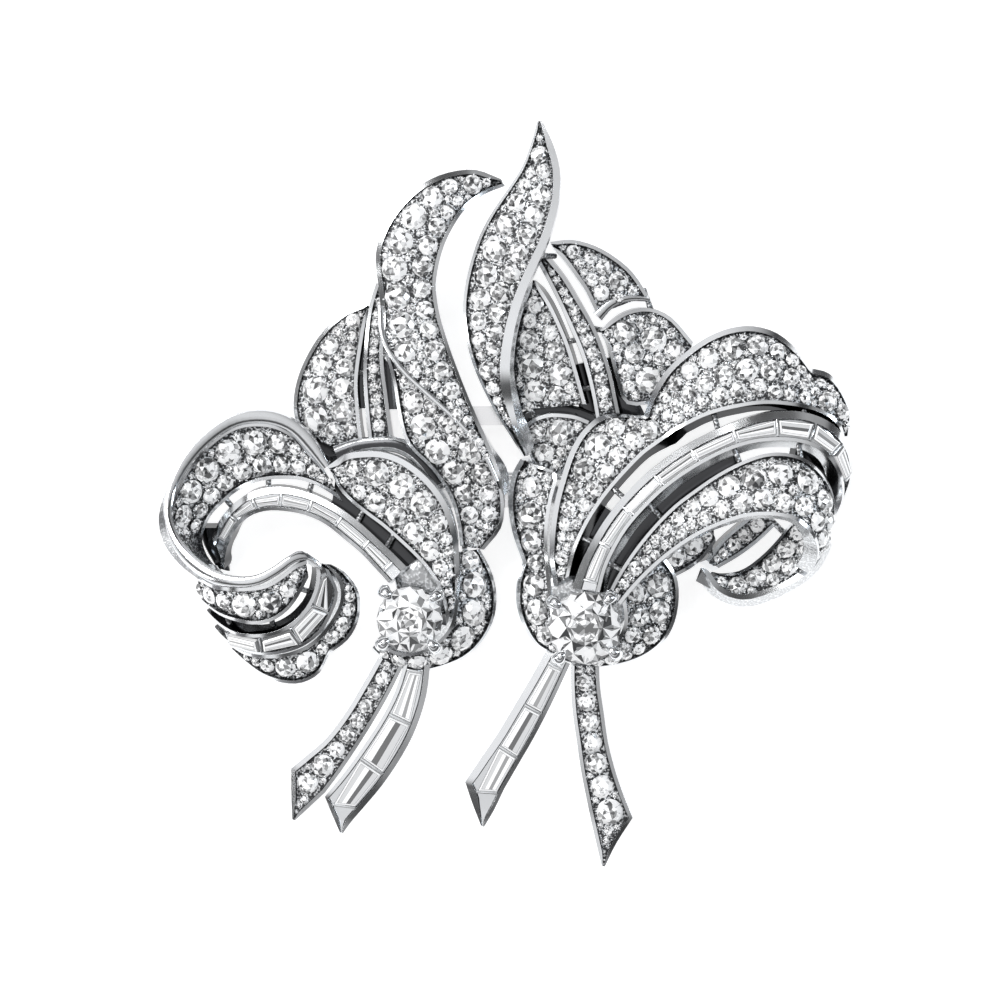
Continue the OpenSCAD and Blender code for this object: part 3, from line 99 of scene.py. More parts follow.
def fill_ramp(node, stops):
    """Gives a colour ramp its stops, each a position and a colour."""
    elements = node.color_ramp.elements
    for k, (position, colour) in enumerate(stops):
        stop = elements[k] if k < 2 else elements.new(position)
        stop.position = position
        stop.color = (*colour, 1)


def join(links, pairs):
    """Links outputs to inputs."""
    for source, target in pairs:
        links.new(source, target)


# %% [markdown]
# ## Camera, floor and light
# The photograph looks straight down at the front with a long lens, so the camera stands 0.7 m up and its lens
# makes the frame 93.9 mm wide at the height of the ribbons. The floor is plain white card. Polished metal and
# diamonds only show what is around them, so the light is one broad sheet overhead, two narrower ones at the
# sides, and a sky of bright and dark rings, darker to the right, which draws the lines along the rims.

# %% Camera
VIEW_CENTRE, VIEW_WIDTH = (-0.56 * MM, -0.47 * MM), 93.9 * MM
CAMERA_HEIGHT, RIBBON_HEIGHT, NEAREST = 0.7, 6 * MM, 0.01
camera_data = bpy.data.cameras.new("camera")
camera_data.lens = camera_data.sensor_width * (CAMERA_HEIGHT - RIBBON_HEIGHT) / VIEW_WIDTH
camera_data.clip_start = NEAREST
camera = put_in_scene("camera", camera_data)
camera.location = (*VIEW_CENTRE, CAMERA_HEIGHT)
bpy.context.scene.camera = camera
bpy.context.scene.view_settings.view_transform = "Standard"
print("lens:", round(camera_data.lens, 1), "mm")

# %% Floor
CARD_GREY, CARD_ROUGHNESS, CARD_GLOW, CARD_HALF_WIDTH = 0.6, 0.6, 0.74, 3
GRAIN_SCALE, GRAIN_STRENGTH = 900, 0.03
floor_card, nodes, links, shader = new_material("floor_card", (CARD_GREY,) * 3, CARD_ROUGHNESS)
shader.inputs["Emission Color"].default_value = (1, 1, 1, 1)
shader.inputs["Emission Strength"].default_value = CARD_GLOW
grain_place = add_node(nodes, "TexCoord")
grain = add_node(nodes, "TexNoise", {"Scale": GRAIN_SCALE})
grain_bump = add_node(nodes, "Bump", {"Strength": GRAIN_STRENGTH})
join(links, (
    (grain_place.outputs["Object"], grain.inputs["Vector"]),
    (grain.outputs["Fac"], grain_bump.inputs["Height"]),
    (grain_bump.outputs["Normal"], shader.inputs["Normal"]),
))
bm = bmesh.new()
bmesh.ops.create_grid(bm, x_segments=2, y_segments=2, size=CARD_HALF_WIDTH)
floor = put_in_scene("floor", as_mesh(bm, "floor"))
floor.data.materials.append(floor_card)


# %% Lights
def softbox(name, place, size, watts, tint=(1, 1, 1)):
    """A rectangular area light at a place in metres, turned towards the brooch."""
    data = bpy.data.lights.new(name, "AREA")
    data.shape = "RECTANGLE"
    data.size, data.size_y = size
    data.energy = watts
    data.color = tint
    light = put_in_scene(name, data)
    light.location = place
    light.rotation_euler = Vector(place).to_track_quat("Z", "Y").to_euler()


softbox("overhead_sheet", (-0.3, 0.36, 0.75), (0.4, 0.25), 2.3)
softbox("left_strip", (-0.7, -0.1, 0.45), (0.1, 0.6), 1.2)
softbox("right_strip", (0.6, 0.1, 0.4), (0.08, 0.5), 1.2, tint=(0.84, 0.92, 1.0))

# %% Sky
# Each stop is a height, from 0 at the horizon to 1 overhead, and a brightness; the two lowest have a tint.
SKY_LOW = ((0.0, (0.3, 0.3, 0.31)), (0.35, (0.12, 0.12, 0.125)))
SKY_RINGS = ((0.5, 0.75), (0.66, 0.8), (0.74, 0.06), (0.84, 0.08), (0.9, 0.85), (0.955, 0.8), (0.985, 0.95))
SKY_BLUE = 1.01
SIDE_SHADE = {"From Min": -0.3, "From Max": 0.5, "To Min": 1.15, "To Max": 0.45}
world = bpy.data.worlds.new("studio")
world.use_nodes = True
bpy.context.scene.world = world
nodes, links = world.node_tree.nodes, world.node_tree.links
way = add_node(nodes, "TexCoord")
split = add_node(nodes, "SeparateXYZ")
height = add_node(nodes, "ValToRGB")
fill_ramp(height, (*SKY_LOW, *((place, (grey, grey, grey * SKY_BLUE)) for place, grey in SKY_RINGS)))
aside = add_node(nodes, "MapRange", SIDE_SHADE)
shade = add_node(nodes, "Mix", {"Factor": 1}, data_type="RGBA", blend_type="MULTIPLY")
join(links, (
    (way.outputs["Generated"], split.inputs["Vector"]),
    (split.outputs["Z"], height.inputs["Fac"]),
    (split.outputs["X"], aside.inputs["Value"]),
    (height.outputs["Color"], shade.inputs["A"]),
    (aside.outputs["Result"], shade.inputs["B"]),
    (shade.outputs["Result"], nodes["Background"].inputs["Color"]),
))

# %% [markdown]
# ## Finishes
# The platinum is polished by hand, so its roughness wanders a little and it carries hairline scratches. What lies
# deep in the channels is never reached by the polishing cloth and stays rougher. It is also painted darker, as a
# painted shade for the shade that falls there. Both effects are one node group, which puts out a colour, a
# roughness and a normal, and the clips and the fitting use it with their own values. How deep a face lies is kept
# on the mesh as the attribute `recess`: 0 on a polished face, 1 on a carved floor, which is rough, flecked and
# painted dark as shade, and towards 2 on a wall that is smooth but painted dark. That dark is a painted shade for
# a wall that faces only its neighbour's wall.

# %% The hand polish and painted shade group
CLOUD_SCALE, HAIR_SCALE, CUT_SCALE = 260, 2200, 4200
HAIR_DEPTH, CUT_DEPTH, CUT_STRENGTH = 0.02 * MM, 0.12 * MM, 0.6
HAIR_LIE = {"Rotation": (0.3, 0.2, 0.7), "Scale": (1, 0.06, 1)}
HAZE, CUT_ROUGHNESS, FLECKS = 0.16, 0.28, ((0.48, (0, 0, 0)), (0.64, (1, 1, 1)))


def make_polish_and_painted_shade():
    """The node group: colour, roughness and normal of metal that was polished by hand, with painted shade in its
    recesses.
    """
    group = bpy.data.node_groups.new("polish_and_painted_shade", "ShaderNodeTree")
    for way, sockets in (
        ("INPUT", (("Bright", "Color"), ("Dull Shade", "Color"), ("Polish", "Float"), ("Scratches", "Float"))),
        ("OUTPUT", (("Color", "Color"), ("Roughness", "Float"), ("Normal", "Vector"))),
    ):
        for name, kind in sockets:
            group.interface.new_socket(name=name, in_out=way, socket_type=f"NodeSocket{kind}")
    nodes, links = group.nodes, group.links
    given, out = nodes.new("NodeGroupInput"), nodes.new("NodeGroupOutput")
    place = add_node(nodes, "TexCoord")
    recess = add_node(nodes, "Attribute", attribute_name="recess")
    clouds = add_node(nodes, "TexNoise", {"Scale": CLOUD_SCALE, "Detail": 4})
    stretch = add_node(nodes, "Mapping", HAIR_LIE)
    hairs = add_node(nodes, "TexNoise", {"Scale": HAIR_SCALE, "Detail": 2})
    cuts = add_node(nodes, "TexNoise", {"Scale": CUT_SCALE, "Detail": 1})
    flecks = add_node(nodes, "ValToRGB")
    fill_ramp(flecks, FLECKS)
    # Painted shade: with the recess, the colour goes from the bright metal to the dark shade colour, broken by
    # bright flecks of the graver cuts.
    shade_and_cuts = add_node(nodes, "Mix", data_type="RGBA")
    tint = add_node(nodes, "Mix", data_type="RGBA")
    smooth_part = add_node(nodes, "Math", {0: 2}, operation="SUBTRACT", use_clamp=True)
    fleck_share = add_node(nodes, "Math", operation="MULTIPLY")
    cut_share = add_node(nodes, "Math", operation="MULTIPLY")
    cut_depth = add_node(nodes, "Math", {1: CUT_STRENGTH}, operation="MULTIPLY")
    haze = add_node(nodes, "Math", {1: HAZE}, operation="MULTIPLY_ADD")
    rough = add_node(nodes, "Math", {1: CUT_ROUGHNESS}, operation="MULTIPLY_ADD")
    carve = add_node(nodes, "Bump", {"Distance": CUT_DEPTH})
    bump = add_node(nodes, "Bump", {"Distance": HAIR_DEPTH})
    join(links, (
        (place.outputs["Object"], clouds.inputs["Vector"]),
        (place.outputs["Object"], cuts.inputs["Vector"]),
        (place.outputs["Object"], stretch.inputs["Vector"]),
        (stretch.outputs["Vector"], hairs.inputs["Vector"]),
        (recess.outputs["Fac"], smooth_part.inputs[1]),
        (cuts.outputs["Fac"], flecks.inputs["Fac"]),
        (flecks.outputs["Color"], fleck_share.inputs[0]),
        (smooth_part.outputs["Value"], fleck_share.inputs[1]),
        (fleck_share.outputs["Value"], shade_and_cuts.inputs["Factor"]),
        (given.outputs["Dull Shade"], shade_and_cuts.inputs["A"]),
        (given.outputs["Bright"], shade_and_cuts.inputs["B"]),
        (recess.outputs["Fac"], tint.inputs["Factor"]),
        (given.outputs["Bright"], tint.inputs["A"]),
        (shade_and_cuts.outputs["Result"], tint.inputs["B"]),
        (recess.outputs["Fac"], cut_share.inputs[0]),
        (smooth_part.outputs["Value"], cut_share.inputs[1]),
        (cut_share.outputs["Value"], cut_depth.inputs[0]),
        (cut_depth.outputs["Value"], carve.inputs["Strength"]),
        (cuts.outputs["Fac"], carve.inputs["Height"]),
        (hairs.outputs["Fac"], bump.inputs["Height"]),
        (given.outputs["Scratches"], bump.inputs["Strength"]),
        (bump.outputs["Normal"], carve.inputs["Normal"]),
        (clouds.outputs["Fac"], haze.inputs[0]),
        (given.outputs["Polish"], haze.inputs[2]),
        (cut_share.outputs["Value"], rough.inputs[0]),
        (haze.outputs["Value"], rough.inputs[2]),
        (tint.outputs["Result"], out.inputs["Color"]),
        (rough.outputs["Value"], out.inputs["Roughness"]),
        (carve.outputs["Normal"], out.inputs["Normal"]),
    ))
    return group


polish_and_painted_shade = make_polish_and_painted_shade()


# %% Platinum and the fitting's metal
def polished_and_shaded(name, bright, dull_shade, polish, scratches):
    """A metal with the hand polish and its painted shade, at its own values."""
    material, nodes, links, shader = new_material(name, bright, polish, metallic=1.0)
    values = {"Bright": (*bright, 1), "Dull Shade": (*dull_shade, 1), "Polish": polish, "Scratches": scratches}
    finish_and_shade = add_node(nodes, "Group", values, node_tree=polish_and_painted_shade)
    for source, target in (("Color", "Base Color"), ("Roughness", "Roughness"), ("Normal", "Normal")):
        links.new(finish_and_shade.outputs[source], shader.inputs[target])
    return material


# The dark second colour of each metal is painted shade for recesses and for walls that face a neighbour.
platinum = polished_and_shaded("platinum", (0.83, 0.845, 0.86), (0.065, 0.066, 0.069), 0.06, 0.12)
fitting_metal = polished_and_shaded("fitting_metal", (0.97, 0.97, 0.975), (0.75, 0.75, 0.75), 0.05, 0.1)

# %% [markdown]
# A cut diamond looks like a mosaic: each facet of the crown shows one bright or dark patch thrown back by the
# pavilion below. Hundreds of tiny refracting stones would be costly and noisy, so each stone keeps its real
# facets, with the high gloss of diamond, and each facet carries its own patch of light in the attribute
# `facet`. The pavilion's reflections break that patch up further, which small Voronoi cells stand in for, and a
# ramp turns the sum into slate, silver, frost or white. A step cut has long clear facets and does without the
# cells. The patches glow a little, as a cut stone throws back more light than a matt surface could.

# %% Diamond
SLATE, SILVER = (0.055, 0.056, 0.058), (0.27, 0.272, 0.275)
FROST, WHITE = (0.62, 0.624, 0.63), (0.985, 0.987, 0.99)
RETURNED_LIGHT, DIAMOND_IOR = 0.26, 2.42


def diamond(name, steps, shards, share, roughness=0.02):
    """Cut stone whose facets are bright or dark patches, broken by a share into shards, so many a metre."""
    material, nodes, links, shader = new_material(name, WHITE, roughness, ior=DIAMOND_IOR)
    facet = add_node(nodes, "Attribute", attribute_name="facet")
    place = add_node(nodes, "TexCoord")
    cells = add_node(nodes, "TexVoronoi", {"Scale": shards})
    cell = add_node(nodes, "SeparateColor")
    blend = add_node(nodes, "Mix", {"Factor": share})
    patch = add_node(nodes, "ValToRGB")
    patch.color_ramp.interpolation = "CONSTANT"
    fill_ramp(patch, zip((0.0, *steps), (SLATE, SILVER, FROST, WHITE)))
    join(links, (
        (place.outputs["Object"], cells.inputs["Vector"]),
        (cells.outputs["Color"], cell.inputs["Color"]),
        (facet.outputs["Fac"], blend.inputs["A"]),
        (cell.outputs["Red"], blend.inputs["B"]),
        (blend.outputs["Result"], patch.inputs["Fac"]),
        (patch.outputs["Color"], shader.inputs["Base Color"]),
        (patch.outputs["Color"], shader.inputs["Emission Color"]),
    ))
    shader.inputs["Emission Strength"].default_value = RETURNED_LIGHT
    return material


pave_diamond = diamond("pave_diamond", (0.23, 0.42, 0.57), 3300, 0.4, roughness=0.04)
main_diamond = diamond("main_diamond", (0.24, 0.4, 0.52), 1500, 0.3)
baguette_diamond = diamond("baguette_diamond", (0.2, 0.4, 0.65), 900, 0.0)
print("finishes:", [m.name for m in (platinum, fitting_metal, pave_diamond, main_diamond, baguette_diamond)])

# %% [markdown]
# ## The ribbons' edge lines
# Each ribbon runs between two edge lines. The tables below repeat the source's sections, in squares of a
# chart: x, y and height of one edge, then of the other, and a last 1 where the outline has a corner. Before
# them stand the widths of the two rims and the rise of the crown between them; a band with neither is plain
# polished strip.
#
# `LEFT_BACKS` and `RIGHT_BACKS` list in the same way what the source doesn't have: plain bands that close some
# openings from behind and are painted dark, a painted shade that shows as the dark end of a slot, and a wire
# along the plume where it crosses the feather. `LEFT_BRIDGES` and `RIGHT_BRIDGES` give the two ends of each bar
# that ties ribbons together.

# %% Tables of the ribbons and of the bars that tie them
LEFT_RIBBONS = {
    "plume": ([0.45, 0.34, 0.45], [
        (50.1, 17.9, 7, 50.5, 18.6, 7), (47.6, 17, 7.6, 48.4, 19.5, 7.7),
        (44.8, 17.3, 8.1, 46.6, 20.9, 8.4), (42.3, 18.4, 8.4, 45.4, 22.6, 8.8),
        (40.2, 20.2, 8.6, 44.5, 24.4, 9), (38.5, 22.6, 8.6, 43.9, 26.4, 9),
        (37.6, 25.4, 8.6, 43.6, 28.6, 9), (37.8, 28.2, 8.6, 43.9, 31.2, 9.2),
        (38.1, 31.2, 8.8, 44.7, 34, 9.4), (38.2, 34.2, 9.2, 45.7, 36.8, 9.7),
        (40, 37.1, 9.6, 46.8, 39.6, 10), (42.8, 39.7, 9.9, 47.9, 42.2, 10.2),
        (45.8, 42.4, 10, 49, 44.8, 10.2), (48.1, 45.2, 9.8, 49.9, 47.4, 10),
        (49.7, 48.6, 9.4, 50.4, 49.6, 9.4)]),
    "feather": ([0.34, 0.34, 0.3], [
        (38.6, 35.6, 7.4, 40.6, 36.4, 8.4), (39.3, 38.3, 7.2, 43.6, 38.8, 8.6),
        (39.8, 41.4, 7, 46.4, 41.2, 8.7), (40.7, 44.4, 6.9, 48.6, 44.2, 8.5),
        (43.2, 47, 6.8, 49.8, 47.2, 8), (44.9, 49.6, 6.8, 50.4, 50.2, 7.4),
        (45.7, 52.2, 6.6, 50.1, 52.8, 6.8), (46, 54.6, 6.2, 48.4, 55, 6.2)]),
    "fan_outer": ([0.34, 0.34, 0.3], [
        (36.7, 30.3, 5, 37, 30.9, 5), (34.4, 31.2, 4.8, 36.5, 32.4, 5.1),
        (32.3, 33, 4.5, 36.2, 34.1, 5.1), (30.8, 35.2, 4.3, 35.9, 36.1, 5.1),
        (29.8, 37.4, 4.1, 35.7, 38.2, 5.1), (29.3, 39.6, 4, 35.8, 40.4, 5.1),
        (29.4, 41.8, 4, 36, 42.6, 5.1), (30.6, 44.2, 4, 36.3, 44.6, 5)]),
    "fan_strip": ([0.34, 0.34, 0.1], [
        (37.6, 28.3, 6.4, 38.6, 28.6, 6.6), (37, 30.2, 6.2, 38.9, 30.4, 6.6),
        (36.6, 32.4, 6, 38.6, 32.5, 6.4), (36.4, 34.8, 5.8, 38.3, 34.8, 6),
        (36.3, 37.2, 5.7, 38.4, 37.2, 5.8), (36.4, 39.4, 5.6, 38.7, 39.4, 5.6),
        (36.6, 41.8, 5.5, 39, 41.8, 5.5), (36.9, 44.6, 5.2, 39.4, 44.8, 5.2)]),
    "scroll_rim": ([], [
        (33, 46.4, 7, 32.3, 47, 6.9), (31.6, 44.1, 7.4, 30.5, 44.9, 7.2),
        (29.9, 42.3, 7.7, 29.1, 43.4, 7.5), (28, 41.3, 7.9, 27.4, 42.6, 7.7),
        (25.8, 41, 8, 25.6, 42.4, 7.8), (23.5, 41.4, 8.1, 23.8, 42.7, 7.9),
        (21.3, 42.6, 8.3, 22, 43.7, 8.1), (19.3, 44.4, 8.5, 20.3, 45.2, 8.3),
        (17.8, 46.6, 8.8, 18.8, 47.2, 8.6), (16.8, 49.2, 9.2, 17.7, 49.5, 9),
        (16.6, 51.5, 9.7, 17.3, 51.5, 9.6), (17, 53.7, 10.2, 18, 53.4, 10.2),
        (18, 55.6, 10.8, 19.2, 55, 10.9), (19.6, 57.2, 11.5, 20.7, 56.3, 11.6),
        (21.5, 58.3, 12.1, 22.3, 57.2, 12.2), (24, 58.7, 12.6, 24.3, 57.6, 12.7),
        (26.2, 58.4, 12.8, 26, 57.4, 12.9), (28.2, 57.3, 12.8, 27.6, 56.6, 12.9),
        (29.7, 56.2, 12.7, 29, 55.6, 12.8), (31.2, 56, 12.4, 30.4, 55, 12.5),
        (32.4, 56.9, 12, 32, 56, 12.1)]),
    "scroll_pave": ([0.34, 0.34, 0.1], [
        (32.2, 46.6, 6.8, 34.2, 50.1, 6.9), (30.6, 44.8, 7, 32.3, 48.9, 6.6),
        (29.1, 43.3, 7.2, 30.4, 48.1, 6.4), (27.4, 42.5, 7.4, 28.5, 47.9, 6.2),
        (25.5, 42.3, 7.5, 26.7, 48, 6.1), (23.7, 42.6, 7.6, 25.1, 48.4, 6),
        (21.9, 43.6, 7.8, 23.6, 49.2, 5.8), (20.2, 45.1, 8, 22.3, 50.3, 5.5),
        (18.7, 47.1, 8.3, 21.2, 51.4, 5.1), (17.6, 49.4, 8.6, 20.5, 52.7, 4.6),
        (17.2, 51.6, 8.8, 20.2, 54, 4), (17.8, 53.6, 9.2, 20.6, 55.4, 3.4),
        (19.2, 55.3, 9.8, 21.5, 56.7, 3), (20.8, 56.5, 10.6, 22.6, 57.6, 3.4)]),
    "scroll_bars": ([0.612, 0.34, 0], [
        (40.6, 56.6, 8.2, 38.9, 58.3, 8.2), (39.4, 55.4, 7.9, 37.7, 57, 7.9),
        (37.8, 53.9, 7.5, 36.2, 55.4, 7.5), (35.9, 52.2, 7.1, 34.3, 53.8, 7.1),
        (34, 50.8, 6.8, 32.5, 52.4, 6.7), (32, 49.7, 6.5, 30.5, 51.5, 6.4),
        (30, 49, 6.3, 28.4, 51.1, 6.1), (28, 48.7, 6.1, 26.5, 51.1, 5.8),
        (26.1, 48.9, 5.9, 24.8, 51.7, 5.5), (24.3, 49.6, 5.6, 23.5, 52.9, 5.1),
        (22.8, 50.8, 5.1, 22.7, 54.4, 4.4), (21.7, 52.2, 4.5, 22.3, 55.8, 3.7),
        (21, 53.8, 3.7, 22.2, 57, 3)]),
    "shell_back": ([], [
        (33.2, 44.6, 5.2, 33.9, 46.2, 5.4), (35.2, 43.9, 5.4, 35.7, 45.4, 5.6),
        (37.4, 43.6, 5.6, 37.6, 45.1, 5.8), (39.6, 43.6, 5.8, 39.4, 45.2, 6),
        (41.6, 44.5, 6, 41, 46, 6.2), (43.2, 46.2, 6.2, 42.3, 47.4, 6.4),
        (44.6, 48.2, 6.2, 43.6, 49.2, 6.4)]),
    "shell": ([0.544, 0.34, 0.35], [
        (32.7, 46.7, 8, 33.2, 47.3, 7.8), (34.5, 45.5, 8.5, 33.9, 48.9, 7.6),
        (36.2, 45.2, 8.8, 35.2, 50.3, 7.6), (38, 45.2, 9, 36.7, 51.5, 7.7),
        (39.8, 45.7, 9.2, 38.2, 52.6, 7.8), (41.6, 46.8, 9.4, 39.8, 54, 8),
        (43.2, 48.3, 9.5, 41.3, 55.4, 8.2), (44.5, 50.1, 9.5, 42.6, 56.8, 8.5),
        (45.4, 52.3, 9.4, 43.6, 58.3, 8.7), (45.9, 55, 9.2, 44.2, 59.8, 8.7),
        (45.9, 58, 8.8, 44.6, 61.3, 8.4), (45.3, 60.8, 8.2, 44.7, 62.6, 8)]),
    "curl_top": ([0.34, 0.34, 0.1], [
        (19.7, 57.6, 6.4, 20.5, 60.2, 5.2), (19.6, 57.5, 8.4, 20.3, 60.3, 7.4),
        (21.2, 58.4, 10.4, 22, 61.5, 9.4), (23, 58.7, 11.5, 23.7, 62.1, 10.5),
        (25, 58.7, 11.9, 25.4, 62.4, 11), (26.8, 58.4, 12.1, 27.2, 62.1, 11.2),
        (28.3, 57.5, 12.1, 28.8, 61.1, 11.2), (29.6, 56.5, 12.1, 30, 59.6, 11.3),
        (30.8, 56, 11.9, 31, 57.7, 11.4)]),
    "curl_bars": ([0.34, 0.34, 0], [
        (20.8, 61, 4.4, 21.9, 62.9, 3.6), (20.6, 61.1, 6, 21.6, 63.1, 5.2),
        (21.9, 62.3, 7.8, 23.1, 64.5, 6.8), (23.6, 63.2, 9.2, 24.6, 65.2, 8.3),
        (25.6, 63.4, 10.1, 26.4, 65.5, 9), (27.6, 63.1, 10.5, 28.4, 65.3, 9.3),
        (29.4, 62.1, 10.7, 30.4, 64.6, 9.5), (30.7, 60.7, 10.8, 32.1, 63.3, 9.7),
        (31.5, 59.1, 11, 33.3, 61.3, 10), (31.8, 57.5, 11.2, 33.9, 59.2, 10.3),
        (31.6, 56.2, 11.5, 33, 57, 11)]),
    "curl_edge": ([0.34, 0.34, 0.15], [
        (22.6, 64.3, 4.4, 23.3, 65.2, 3.9), (24.3, 65.2, 6.4, 24.6, 66.4, 5.2),
        (26.2, 65.5, 7.6, 26.2, 67.6, 6.2), (28.2, 65.4, 8.3, 28.2, 68.3, 6.8),
        (30.2, 64.8, 8.7, 30.2, 68.3, 7), (31.6, 63.9, 8.9, 32, 67.3, 7.2),
        (32.6, 62.9, 9.1, 33, 65.4, 7.6, 1), (33.4, 61.7, 9.2, 34.8, 64, 7.8),
        (34, 60.5, 9.4, 35.8, 62.3, 8), (34.2, 59.3, 9.6, 36.1, 60.5, 8.3),
        (34, 58.2, 10, 35.8, 58.8, 8.8), (33.4, 57.2, 10.4, 34.6, 57.2, 9.6),
        (32.6, 56.4, 10.8, 33.2, 56.4, 10.5)]),
    "curl_back": ([], [
        (19.4, 56.2, 4.8, 21.8, 56.6, 3.2), (20.3, 58.4, 3.6, 23, 58.6, 2.6),
        (21.5, 60.7, 3.2, 24.2, 60.4, 2.6), (22.9, 62.9, 3.2, 25.6, 62.2, 2.9),
        (24.6, 64.6, 4.2, 27, 63.6, 4.2), (26.6, 65.6, 5.6, 28.4, 64.4, 6.2)]),
    "lobe": ([0.34, 0.34, 0.2], [
        (48, 54.9, 5.2, 45.7, 55.2, 6.4), (48.9, 56.5, 4.9, 45.7, 57.5, 6.8),
        (49.5, 58.2, 4.7, 45.6, 59.6, 7), (49.7, 60.2, 4.6, 45.4, 61.4, 7),
        (49.3, 62.3, 4.5, 44.9, 62.9, 7), (48.2, 64.3, 4.4, 44, 64, 6.9),
        (46.6, 65.8, 4.4, 42.9, 64.8, 6.8), (44.6, 66.7, 4.4, 41.6, 65.3, 6.7),
        (42.6, 67.2, 4.4, 40.4, 65.4, 6.6), (40.6, 67.2, 4.4, 39.2, 65.1, 6.5),
        (38.8, 66.5, 4.4, 38.2, 64.6, 6.4), (37.1, 65, 4.6, 37.7, 63.9, 6)]),
    "tail_pave": ([0.442, 0.34, 0], [
        (37.8, 65.8, 4.8, 40.3, 66.6, 4.8), (36.2, 68.6, 4.6, 38.9, 69.4, 4.6),
        (34.5, 71.4, 4.4, 37.3, 72.2, 4.4), (32.6, 73.9, 4.1, 35.6, 74.9, 4.1),
        (30.8, 75.5, 3.8, 33.9, 77.4, 3.8), (29, 77, 3.5, 32.4, 79.4, 3.5, 1),
        (29, 79.6, 3.3, 30.8, 80.9, 3.3), (29.1, 82.1, 3.1, 29.4, 82.2, 3.1)]),
    "tail_bars": ([0.34, 0.51, 0], [
        (40.4, 66.4, 4.9, 43, 66.4, 4.9), (39.5, 69.2, 4.8, 42.6, 69.6, 4.8),
        (38.2, 71.8, 4.6, 41.6, 72.8, 4.6), (36.4, 74.6, 4.3, 40.2, 75.6, 4.3),
        (34.4, 77.4, 4, 38.2, 78.6, 4), (32.4, 79.8, 3.6, 36.2, 81, 3.6, 1),
        (33.2, 81.8, 3.4, 35, 82.4, 3.4), (33.9, 83.4, 3.2, 34.2, 83.5, 3.2)]),
}
